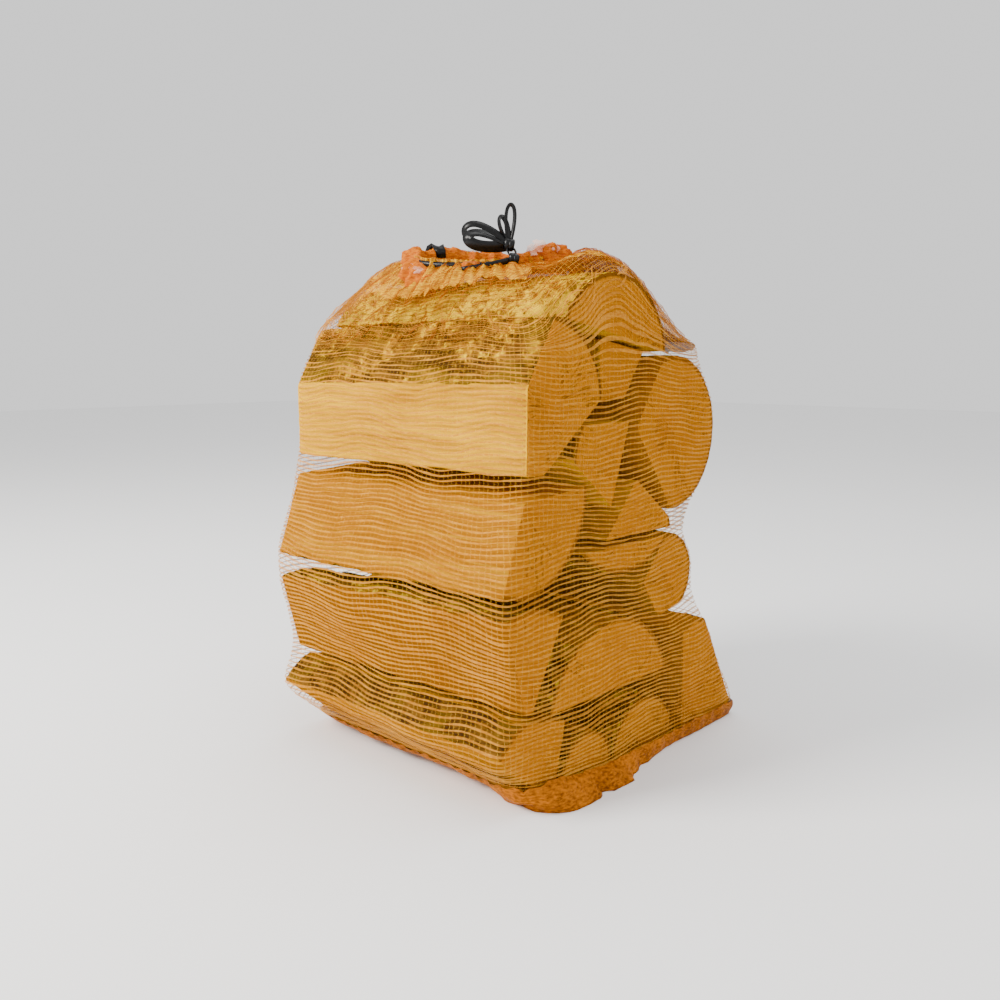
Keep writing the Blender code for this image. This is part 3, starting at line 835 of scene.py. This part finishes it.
    def spots(self, around: np.ndarray, up: np.ndarray) -> tuple[np.ndarray, np.ndarray]:
        """Points of the surface and its outward directions.

        Args:
            around: distances round the bag, in centimetres.
            up: distances up its side, in centimetres.

        Returns:
            The points and the directions, in arrays of the same shape with a last axis of 3.
        """
        column = np.interp(around % self.column_length[-1], self.column_length, np.arange(len(self.column_length)))
        row = np.interp(up, self.row_length, np.arange(len(self.row_length)))
        point = self._cubic(row, column)
        above = self._cubic(np.minimum(row + 0.3, len(self.grid) - 1.0), column)
        step_up = above - self._cubic(np.maximum(row - 0.3, 0.0), column)
        step_round = self._cubic(row, column + 0.4) - self._cubic(row, column - 0.4)
        out = np.cross(step_round, step_up)
        out /= np.maximum(np.linalg.norm(out, axis=-1, keepdims=True), 1e-9)
        return point, out

    def _cubic(self, row: np.ndarray, column: np.ndarray) -> np.ndarray:
        """The grid read between its points by smooth curves through them."""
        rows, columns = self.grid.shape[:2]
        low_row = np.clip(np.floor(row).astype(int), 0, rows - 2)
        low_column = np.floor(column).astype(int)
        part_row, part_column = row - low_row, column - low_column
        total = 0.0
        for i, weight_row in enumerate(self._weights(part_row)):
            at_row = np.clip(low_row + i - 1, 0, rows - 1)
            for j, weight_column in enumerate(self._weights(part_column)):
                at_column = (low_column + j - 1) % columns
                total = total + self.grid[at_row, at_column] * (weight_row * weight_column)[..., None]
        return total

    @staticmethod
    def _weights(part: np.ndarray) -> tuple:
        """The four weights of a curve through its points."""
        square, cube = part * part, part * part * part
        return (-0.5 * cube + square - 0.5 * part, 1.5 * cube - 2.5 * square + 1.0,
                -1.5 * cube + 2.0 * square + 0.5 * part, 0.5 * cube - 0.5 * square)


@dataclass
class NetBag:
    """The knitted net: level tapes of yarn, upright chains of loops that tie them, a gathered hem and a bottom seam.

    Widths and pitches are in centimetres, and pleats counts the folds that the mouth is drawn into.
    """

    shape: BagShape
    tape_pitch: float = 0.41
    tape_width: float = 0.14
    chain_pitch: float = 0.48
    chain_width: float = 0.034
    pleats: int = 34
    pleat_rows: int = 16
    seam_rows: int = 9
    hem_columns: int = 520
    hem_rows: int = 18

    def _turn(self, around: np.ndarray) -> np.ndarray:
        """Distances round the bag as angles, so that whole numbers of waves close on themselves."""
        return 2.0 * math.pi * around / self.shape.column_length[-1]

    def _crumple(self, around: np.ndarray, up: np.ndarray, size: float, seed: float) -> np.ndarray:
        """Smooth noise round the bag and up it, with lumps of about the given size in centimetres."""
        turn = self._turn(around)
        radius = self.shape.column_length[-1] / (2.0 * math.pi)
        spots = np.stack((radius * np.cos(turn), radius * np.sin(turn), up), axis=-1) / size
        return np.array([noise.noise(Vector((x, y, z + seed))) for x, y, z in spots])

    def _levels(self) -> np.ndarray:
        """How far up each level tape lies: evenly up the sides, closer together over the top."""
        shoulder = self.shape.row_length[self.shape.side_rows]
        side = np.arange(0.3, shoulder, self.tape_pitch)
        return np.concatenate((side, np.arange(side[-1] + 0.24, self.shape.row_length[-1] - 0.2, 0.165)))

    def _wobble(self, around: np.ndarray, up: np.ndarray) -> np.ndarray:
        """How far each point of a level tape strays up or down, in centimetres."""
        turn = self._turn(around)
        stray = 0.34 * np.sin(6.0 * turn + up * 0.25) + 0.10 * np.sin(14.0 * turn - up * 0.6 + 1.3)
        stray += 0.022 * np.sin(37.0 * turn + up * 1.1)
        stray *= np.clip(up / 3.0, 0.1, 1.0)
        return stray

    def _swell(self, around: np.ndarray, up: np.ndarray) -> np.ndarray:
        """How far the net stands off its stretched shape: slack below, gathered folds towards the neck."""
        total = self.shape.row_length[-1]
        shoulder = self.shape.row_length[self.shape.side_rows]
        turn = self._turn(around)
        near = np.clip((up - shoulder) / (total - shoulder), 0.0, 1.0)
        fold = np.sin(self.pleats * turn + 1.7 * np.sin(3.0 * turn) + 0.4 * np.sin(up * 0.9))
        fold += 0.5 * np.sin(0.5 * self.pleats * turn + 2.0 + 0.3 * up)
        slack = 0.05 * (1.0 + np.sin(5.0 * turn + up * 0.35)) + 0.03 * np.sin(17.0 * turn + up * 0.8)
        return slack + near ** 1.5 * (0.16 * fold + 0.16)

    def _lay(self, bm: bmesh.types.BMesh, around: np.ndarray, up: np.ndarray, out: np.ndarray) -> None:
        """Move a grid's points, in order, onto the bag."""
        point, facing = self.shape.spots(around, up)
        point = point + facing * (out + self._swell(around, up))[..., None]
        point[..., 2] = np.maximum(point[..., 2], FLOOR_GAP)
        point = (point - np.array([ORIGIN[0], ORIGIN[1], 0.0])) * CM
        for vert, spot in zip(bm.verts, point):
            vert.co = spot

    def _object(self, name: str, bm: bmesh.types.BMesh, look: bpy.types.Material) -> bpy.types.Object:
        """Finish a part of the bag from its mesh."""
        piece = linked(name, bm, [look])
        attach(piece, "root")
        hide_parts("net_bag")
        return piece

    @staticmethod
    def _grid(columns: int, rows: int) -> tuple[bmesh.types.BMesh, np.ndarray, np.ndarray]:
        """A flat grid to lay round the bag.

        Args:
            columns: steps round the bag.
            rows: steps up it.

        Returns:
            The mesh, and each point's column and row.
        """
        bm = bmesh.new()
        bmesh.ops.create_grid(bm, x_segments=columns, y_segments=rows, size=1.0)
        bm.verts.ensure_lookup_table()
        spots = np.array([vert.co[:2] for vert in bm.verts])
        return bm, np.rint((spots[:, 0] + 1.0) / 2.0 * columns), np.rint((spots[:, 1] + 1.0) / 2.0 * rows)

    @staticmethod
    def _part(bm: bmesh.types.BMesh, strip: np.ndarray) -> None:
        """Delete the faces between one strip and the next, where the points' numbers go from odd to even."""
        gaps = [face for face in bm.faces if min(strip[vert.index] for vert in face.verts) % 2 == 1]
        bmesh.ops.delete(bm, geom=gaps, context="FACES")

    def tapes(self, look: bpy.types.Material) -> bpy.types.Object:
        """The level tapes."""
        length = self.shape.column_length[-1]
        columns = round(length / 0.3)
        heights = self._levels()
        bm, column, row = self._grid(columns, 2 * len(heights) - 1)
        around, row = column * length / columns, row.astype(int)
        tape, side = row // 2, row % 2 * 2 - 1
        middle = heights[tape]
        turn = self._turn(around)
        width = self.tape_width * (1.0 + 0.22 * np.sin(15.0 * turn + tape * 2.4) + 0.12 * np.sin(46.0 * turn + tape))
        width *= np.where(middle > self.shape.row_length[self.shape.side_rows], 0.52, 1.0)
        up = middle + self._wobble(around, middle) + 0.5 * width * side
        twist = 0.035 * np.sin(9.0 * turn + tape * 1.9)
        self._lay(bm, around, up, 0.02 - side * (0.03 + twist))
        self._part(bm, row)
        return self._object("net_tapes", bm, look)

    def chains(self, look: bpy.types.Material) -> bpy.types.Object:
        """The upright chains of loops that tie the tapes together."""
        length = self.shape.column_length[-1]
        count = round(length / self.chain_pitch)
        levels = int((self.shape.row_length[-1] - 0.4) / self.tape_pitch * 2)
        bm, column, level = self._grid(2 * count - 1, levels)
        column, level = column.astype(int), level.astype(int)
        chain, side = column // 2, column % 2 * 2 - 1
        up = 0.3 + level * 0.5 * self.tape_pitch
        stray = 0.06 * np.sin(up * 0.8 + chain * 1.7) + 0.035 * (level % 2 * 2 - 1)
        around = chain * length / count + stray + 0.5 * self.chain_width * side * (1.0 + 0.35 * (level % 2))
        up = up + self._wobble(around, up)
        self._lay(bm, around, up, np.full(len(up), 0.075) - 0.03 * (level % 2))
        self._part(bm, column)
        return self._object("net_chains", bm, look)

    def slack(self, look: bpy.types.Material) -> bpy.types.Object:
        """The crumpled second layer over the top, where the mouth's spare net bunches up."""
        length = self.shape.column_length[-1]
        shoulder = self.shape.row_length[self.shape.side_rows]
        columns = round(length / 0.34)
        heights = np.arange(shoulder + 1.4, self.shape.row_length[-1] - 0.2, 0.26)
        bm, column, row = self._grid(columns, 2 * len(heights) - 1)
        around, row = column * length / columns, row.astype(int)
        tape, side = row // 2, row % 2 * 2 - 1
        crease = self._crumple(around, heights[tape], 1.5, 3.0)
        rumple = self._crumple(around, heights[tape], 0.6, 8.0)
        up = heights[tape] + 1.1 * crease + 0.35 * rumple + side * (0.032 + 0.03 * rumple)
        out = 0.10 + 0.22 * np.abs(rumple) + 0.18 * np.abs(crease) - 0.04 * side
        up = np.minimum(up, self.shape.row_length[-1] - 0.15)
        self._lay(bm, around, up, out)
        self._part(bm, row)
        return self._object("net_slack", bm, look)

    def gathers(self, look: bpy.types.Material) -> bpy.types.Object:
        """The dense pleats that run down from the tied mouth, where the net lies in many layers."""
        length, top = self.shape.column_length[-1], self.shape.row_length[-1]
        columns = round(length / 0.17)
        bm, column, level = self._grid(columns, self.pleat_rows)
        around, level = column * length / columns, level / self.pleat_rows
        turn = self._turn(around)
        ragged = self._crumple(around, 0.0 * around, 2.8, 5.0) + 0.6 * self._crumple(around, 0.0 * around, 0.7, 7.0)
        rim = self.shape.grid[self.shape.side_rows]
        rim = np.concatenate((rim, rim[:1]))
        base = np.stack([np.interp(around % length, self.shape.column_length, rim[:, axis]) for axis in (0, 1)], axis=1)
        ends = np.clip((np.abs(base[:, 0]) - 9.5) / 3.0, 0.0, 1.0) * np.exp(-((base[:, 1] + 3.0) / 4.5) ** 2)
        corner = np.exp(-((base[:, 0] - 12.0) / 7.0) ** 2 - ((base[:, 1] - 9.5) / 4.5) ** 2)
        reach = 5.2 + 1.3 * ragged + ends * np.where(base[:, 0] > 0.0, 4.6, 5.4) + 7.6 * corner
        up = top - 0.15 - (1.0 - level) * reach
        crease = np.sin(43.0 * turn + 1.3 * np.sin(5.0 * turn) + 0.5 * (1.0 - level))
        crease += 0.6 * np.sin(97.0 * turn + 1.1 * np.sin(8.0 * turn) - 1.4 * level)
        self._lay(bm, around, up, 0.06 + 0.085 * crease * (0.35 + level) + 0.05 * level)
        bmesh.ops.remove_doubles(bm, verts=bm.verts, dist=SAME_POINT)
        return self._object("net_gathers", bm, look)

    def film(self, look: bpy.types.Material) -> bpy.types.Object:
        """The torn pale scraps of film caught in the ruffles beside the knot."""
        bm = bmesh.new()
        scraps = ((298.0, 0.35, 1.75, 0.8, 1.0), (307.0, 0.05, 2.1, 1.0, 1.1), (318.0, 0.30, 1.8, 0.9, 0.9),
                  (203.0, 1.10, 0.3, 0.8, 0.6), (216.0, 1.30, 0.1, 0.9, 0.6))
        for index, (turn, out, up, wide, tall) in enumerate(scraps):
            made = bmesh.ops.create_grid(bm, x_segments=10, y_segments=8, size=1.0)["verts"]
            for vert in made:
                across, high = vert.co.x, vert.co.y
                curl = 0.25 * math.sin(2.6 * across + 1.7 * index) + 0.18 * math.sin(3.4 * high + index)
                ragged = 1.0 - 0.3 * abs(math.sin(3.0 * across + 2.0 * index)) * max(high, 0.0)
                spot = self.shape.neck.point(math.radians(turn), out + curl, up + 0.5 * tall * high * ragged)
                sideways = Vector((0.73, 0.68, 0.1)) * (0.5 * wide * across)
                vert.co = place(Vector(spot) + sideways)
        return self._object("net_film_scraps", bm, look)

    def bottom(self, look: bpy.types.Material) -> bpy.types.Object:
        """The closed bottom, seen only from below, and the sewn seam folded up round its edge."""
        length = self.shape.column_length[-1]
        columns = round(length / 0.45)
        bm, column, _ = self._grid(columns, self.seam_rows)
        around = column * length / columns
        level = (np.array([vert.co.y for vert in bm.verts]) + 1.0) / 2.0
        along = np.where(around > 0.5 * length, around - length, around)
        corner = np.exp(-((along - 3.5) / 6.0) ** 2)
        front = np.clip((1.0 - along) / 4.0, 0.0, 1.0) * np.clip((along + 30.0) / 6.0, 0.0, 1.0)
        turn = self._turn(around)
        height = 1.5 + 0.25 * np.sin(5.0 * turn) + 0.12 * np.sin(22.0 * turn) + 0.9 * corner + 0.5 * front
        ripple = 0.045 * np.sin(68.0 * turn + 3.0 * level) + 0.03 * np.sin(161.0 * turn)
        ripple += 0.16 * corner * self._crumple(around, 3.0 * level, 0.8, 1.0)
        past = along - 4.6
        spread = np.where(past < 0.0, np.exp(-(past / 4.2) ** 2), np.exp(-(np.maximum(past, 0.0) / 11.8) ** 4))
        frill = 1.0 + 0.2 * np.sin(18.0 * turn) + 0.12 * np.sin(49.0 * turn)
        flare = np.minimum(2.55 * spread * frill, 2.25) * (1.0 - level) ** 0.8
        roll = 0.16 + 0.30 * front * np.sin(math.pi * np.clip(level * 1.05, 0.0, 1.0))
        self._lay(bm, around, level * height, roll + ripple * (0.4 + level) + flare)
        for vert, share in zip(bm.verts, level):
            vert.co.z = max(vert.co.z, (FLOOR_GAP + 1.3 * share) * CM)
        bmesh.ops.remove_doubles(bm, verts=bm.verts, dist=SAME_POINT)
        rim = [edge for edge in bm.edges if edge.is_boundary and max(v.co.z for v in edge.verts) < RIM_HEIGHT]
        bmesh.ops.triangle_fill(bm, edges=rim, use_beauty=True)
        bmesh.ops.recalc_face_normals(bm, faces=bm.faces)
        return self._object("net_bottom_seam", bm, look)

    def hem(self, look: bpy.types.Material) -> bpy.types.Object:
        """The gathered hem, folded over outwards and down round the drawstring."""
        neck = self.shape.neck
        bm = bmesh.new()
        bmesh.ops.create_grid(bm, x_segments=self.hem_columns, y_segments=self.hem_rows, size=1.0)
        for vert in bm.verts:
            turn = math.pi * (vert.co.x + 1.0)
            level = (vert.co.y + 1.0) / 2.0
            spot = Vector(self._hem_spot(neck, turn, level))
            crumple = 0.24 * (0.35 + level) * noise.fractal(spot * 1.7, 0.6, 2.2, 4)
            outward = Vector((spot.x - neck.centre[0], spot.y - neck.centre[1], 3.0)).normalized()
            vert.co = place(spot + outward * crumple)
        bmesh.ops.remove_doubles(bm, verts=bm.verts, dist=SAME_POINT)
        bmesh.ops.recalc_face_normals(bm, faces=bm.faces)
        return self._object("net_hem", bm, look)

    @staticmethod
    def _near(turn: float, middle: float, width: float) -> float:
        """1 where the turn is at the middle angle, falling away over the width, both in degrees."""
        off = (math.degrees(turn) - middle + 180.0) % 360.0 - 180.0
        return math.exp(-(off / width) ** 2)

    def _hem_spot(self, neck: Neck, turn: float, level: float) -> tuple[float, float, float]:
        """A point of the hem: level 0 inside the neck, 0.55 the rim, 1 the edge that hangs outside."""
        gather = math.sin(27.0 * turn + 1.9 * math.sin(2.0 * turn)) + 0.5 * math.sin(43.0 * turn + 1.0)
        lobe = math.sin(9.0 * turn + 0.8 * math.sin(4.0 * turn))
        ruffle, slump = self._near(turn, 316.0, 20.0), self._near(turn, 226.0, 30.0)
        end = self._near(turn, 182.0, 18.0)
        rise = 1.25 + 0.2 * lobe + 1.15 * ruffle + 0.35 * end - 0.95 * slump - 0.35 * self._near(turn, 272.0, 14.0)
        reach = 0.55 + 0.35 * ruffle + 1.35 * slump + 0.3 * end
        drop = 1.15 + 0.25 * math.sin(5.0 * turn + 2.0) + 1.3 * ruffle + 0.75 * slump + 0.5 * end
        if level < 0.5:
            share = level / 0.5
            out = -0.45 + 0.40 * share ** 2 + (0.05 + 0.13 * share) * gather + 0.22 * lobe * share ** 2
            up = -0.2 + (rise + 0.2) * math.sin(0.5 * math.pi * share)
        else:
            share = (level - 0.5) / 0.5
            out = -0.05 + reach * math.sin(0.5 * math.pi * share) + (0.18 + 0.10 * share) * gather + 0.22 * lobe
            up = rise - drop * (1.0 - math.cos(0.5 * math.pi * share)) + 0.08 * share * gather
        return neck.point(turn, out, up)

    def build(self) -> list[bpy.types.Object]:
        """Make the whole bag."""
        yarn = NetYarn().material()
        chain = NetYarn("net_chain_yarn", (0.62, 0.25, 0.006, 1.0), (0.84, 0.44, 0.03, 1.0), 0.45, 0.4).material()
        pleat = NetYarn("net_pleat_yarn", (0.44, 0.15, 0.002, 1.0), (0.84, 0.46, 0.003, 1.0), 0.84, 0.45,
                        crinkle=0.0009).material()
        cloth = NetYarn("net_hem_cloth", (0.34, 0.05, 0.001, 1.0), (0.66, 0.18, 0.002, 1.0), 0.95, 0.45,
                        crinkle=0.0014).material()
        seam = NetYarn("net_seam_cloth", (0.14, 0.036, 0.001, 1.0), (0.60, 0.175, 0.002, 1.0), 0.92, 0.45,
                       crinkle=0.0014).material()
        scrap = NetYarn("net_film", srgb(240, 172, 140), srgb(250, 214, 196), 0.55, 0.3).material()
        return [self.tapes(yarn), self.slack(yarn), self.chains(chain), self.bottom(seam), self.gathers(pleat),
                self.hem(cloth), self.film(scrap)]


@dataclass
class Drawstring:
    """The flat tape that gathers the mouth, its knot on the front of the hem and its bow.

    Places and widths are in centimetres. Each loop is its reach, rise, heading, half width, tilt and the tape's width.
    """

    neck: Neck
    thickness: float = 0.07
    knot: tuple = (3.70, -3.40, 41.10)
    bow: tuple = (2.95, -3.15, 42.30)
    loops: tuple = (
        (3.7, 1.25, 218.0, 1.05, 75.0, 0.55),
        (3.4, 0.55, 232.0, 0.72, 100.0, 0.95),
        (0.7, 2.25, 215.0, 0.42, 80.0, 0.42),
        (0.15, 3.20, 60.0, 0.50, 95.0, 0.34),
    )
    along: tuple = (0.73, 0.68, 0.0)
    outward: tuple = (0.68, -0.73, 0.0)
    ring_steps: int = 144
    loop_steps: int = 40
    lump_steps: int = 28
    run_steps: int = 14
    hook_steps: int = 6
    rise_steps: int = 8

    def _ribbon(self, bm: bmesh.types.BMesh, path: list[Vector], across: list[Vector], closed: bool = False,
                width: float = 0.5) -> None:
        """Add a strip of tape along a path, its width along the given directions.

        Args:
            bm: the mesh that takes the strip.
            path: points in centimetres.
            across: a direction of the width at each point.
            closed: whether the last point joins the first.
            width: the tape's width.
        """
        count = len(path)
        segments = count if closed else count - 1
        made = bmesh.ops.create_grid(bm, x_segments=segments, y_segments=2, size=1.0)["verts"]
        for vert in made:
            index = round((vert.co.x + 1.0) / 2.0 * segments) % count
            side = vert.co.y
            before = path[index - 1] if closed or index else path[index]
            after = path[(index + 1) % count] if closed or index + 1 < count else path[index]
            along = (after - before).normalized()
            wide = (across[index] - along * across[index].dot(along)).normalized()
            face = along.cross(wide)
            dish = 0.06 * (1.0 - side * side)
            vert.co = place(path[index] + wide * (0.5 * width * side) + face * dish)

    def _loop(self, reach: float, rise: float, heading: float, width: float, tilt: float) -> tuple[list, list]:
        """The path of one loop of the bow, out of the crossing and back, and the directions of its width."""
        heading, tilt = math.radians(heading), math.radians(tilt)
        out = Vector((math.cos(heading), math.sin(heading), 0.0))
        axis = (out * reach + Vector((0.0, 0.0, rise))).normalized()
        length = math.hypot(reach, rise)
        level = axis.cross(Vector((0.0, 0.0, 1.0)))
        level = level.normalized() if level.length > 0.05 else Vector(self.outward)
        spread = level * math.cos(tilt) + axis.cross(level) * math.sin(tilt)
        flat = axis.cross(spread)
        path, across = [], []
        for step in range(self.loop_steps + 1):
            turn = 2.0 * math.pi * step / self.loop_steps
            along = length * 0.5 * (1.0 - math.cos(turn))
            aside = width * math.sin(turn) * (0.35 + 0.65 * along / length)
            path.append(Vector(self.bow) + axis * along + spread * aside)
            inward = axis * math.cos(turn) - spread * math.sin(turn)
            across.append((flat * 0.55 + inward * 0.83).normalized())
        return path, across

    def _lump(self, bm: bmesh.types.BMesh, middle: tuple, radius: float) -> None:
        """Add the tape wound round itself at a knot: a core with two turns of tape round it."""
        made = bmesh.ops.create_icosphere(bm, subdivisions=3, radius=radius * 0.86 * CM)["verts"]
        bmesh.ops.scale(bm, verts=made, vec=(1.2, 0.95, 1.05))
        bmesh.ops.translate(bm, verts=made, vec=place(middle))
        for tilt, shift in ((0.35, -0.12), (-0.5, 0.14)):
            path, across = [], []
            turned = Euler((tilt, 0.2, 0.75))
            for step in range(self.lump_steps):
                turn = 2.0 * math.pi * step / self.lump_steps
                local = Vector((shift + 0.05 * math.sin(2.0 * turn), radius * math.cos(turn),
                                radius * 1.05 * math.sin(turn)))
                local.rotate(turned)
                wide = Vector((1.0, 0.0, 0.0))
                wide.rotate(turned)
                path.append(Vector(middle) + local)
                across.append(wide)
            self._ribbon(bm, path, across, True)

    def build(self) -> bpy.types.Object:
        """Make the drawstring's object."""
        bm = bmesh.new()
        turns = [2.0 * math.pi * step / self.ring_steps for step in range(self.ring_steps)]
        ring = [Vector(self.neck.point(turn, 0.26, 0.66)) for turn in turns]
        self._ribbon(bm, ring, [Vector((0.0, 0.0, 1.0))] * self.ring_steps, True)
        knot, bow = Vector(self.knot), Vector(self.bow)
        front = Vector(self.neck.point(math.radians(284.0), 0.3, 0.66))
        level = Vector(self.along)
        left = Vector(self.neck.point(math.radians(253.0), 1.95, 0.15))
        sag = Vector((0.2, -0.2, -0.1))
        parts = [step / self.run_steps for step in range(self.run_steps + 1)]
        slack = [left.lerp(knot, part) + sag * math.sin(math.pi * part) for part in parts]
        self._ribbon(bm, slack, [Vector((0.2, -0.2, 1.0))] * len(slack))
        hook = [front.lerp(knot, step / self.hook_steps) for step in range(self.hook_steps + 1)]
        self._ribbon(bm, hook, [level] * len(hook))
        over = ((-0.5, 0.45), (-0.5, 0.95), (-0.32, 1.42), (0.1, 1.6), (0.5, 1.3), (0.8, 0.7))
        bight = [Vector(self.neck.point(math.radians(140.0), out, up)) for out, up in over]
        self._ribbon(bm, bight, [level] * len(bight), False, 1.0)
        parts = [step / self.rise_steps for step in range(self.rise_steps + 1)]
        for side in (-0.16, 0.16):
            rise = [knot.lerp(bow, part) + level * side * math.sin(math.pi * part) * 2.0 for part in parts]
            self._ribbon(bm, rise, [Vector(self.outward) + level * side] * len(rise))
        for shape in self.loops:
            path, across = self._loop(*shape[:5])
            self._ribbon(bm, path[2:-2], across[2:-2], False, shape[5])
        self._lump(bm, self.knot, 0.36)
        self._lump(bm, self.bow, 0.44)
        bmesh.ops.remove_doubles(bm, verts=bm.verts, dist=SAME_POINT)
        piece = linked("drawstring_tape", bm, [TapeFinish().material()])
        wall = piece.modifiers.new("thickness", "SOLIDIFY")
        wall.thickness = self.thickness * CM
        wall.offset = 0.0
        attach(piece, "root")
        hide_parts("drawstring")
        return piece


@dataclass
class Studio:
    """The pale floor, the soft lights and the camera at the photograph's viewing angle."""

    camera_place: tuple = (56.15, -61.865, 33.0)
    camera_azimuth: float = 43.0
    camera_pitch: float = 8.4
    lens: float = 34.2
    floor_half: float = 6.0

    def floor(self) -> None:
        """Lay the floor."""
        bm = bmesh.new()
        bmesh.ops.create_grid(bm, x_segments=1, y_segments=1, size=self.floor_half)
        mesh = bpy.data.meshes.new("floor")
        bm.to_mesh(mesh)
        bm.free()
        mesh.materials.append(FloorFinish().material())
        made = bpy.data.objects.new("floor", mesh)
        bpy.context.scene.collection.objects.link(made)

    def _light(self, name: str, spot: tuple, size: float, power: float, colour: tuple = (1.0, 1.0, 1.0)) -> None:
        """Hang one soft square light that looks at the middle of the bag."""
        data = bpy.data.lights.new(name, "AREA")
        data.shape = "SQUARE"
        data.size = size
        data.energy = power
        data.color = colour
        made = bpy.data.objects.new(name, data)
        made.location = spot
        made.rotation_euler = (Vector((0.0, 0.0, 0.2)) - Vector(spot)).to_track_quat("-Z", "Y").to_euler()
        bpy.context.scene.collection.objects.link(made)

    def lights(self) -> None:
        """Hang the lights: the strongest from the front left and above, a weaker one from the right."""
        self._light("key", (-0.75, -1.55, 1.35), 0.8, 70.0, (1.0, 0.97, 0.92))
        self._light("fill", (1.7, -0.3, 0.9), 1.2, 5.0)
        self._light("top", (0.1, 0.3, 1.9), 1.2, 14.0)
        world = bpy.data.worlds.new("studio")
        world.use_nodes = True
        back = world.node_tree.nodes["Background"]
        back.inputs["Color"].default_value = (1.0, 1.0, 1.0, 1.0)
        back.inputs["Strength"].default_value = 1.1
        bpy.context.scene.world = world

    def camera(self) -> None:
        """Set the camera."""
        data = bpy.data.cameras.new("camera")
        data.lens = self.lens
        data.sensor_width = 36.0
        data.clip_start = 0.01
        made = bpy.data.objects.new("camera", data)
        made.location = Vector(self.camera_place) * CM
        made.rotation_euler = (math.radians(90.0 - self.camera_pitch), 0.0, math.radians(self.camera_azimuth))
        bpy.context.scene.collection.objects.link(made)
        bpy.context.scene.camera = made

    def build(self) -> None:
        """Set the whole studio up."""
        self.camera()
        self.floor()
        self.lights()


def main() -> None:
    """Build the wood, the bag, the drawstring and the studio."""
    logging.basicConfig(level=logging.INFO, format="%(name)s: %(message)s")
    Studio().build()
    stack = WoodStack()
    pieces = stack.build()
    neck = Neck()
    shape = BagShape(stack.logs, neck)
    pieces += NetBag(shape).build()
    pieces.append(Drawstring(neck).build())
    for piece in pieces:
        LOGGER.info("%s: %d faces", piece.name, len(piece.data.polygons))
    bpy.context.view_layer.update()


if __name__ == "__main__":
    main()
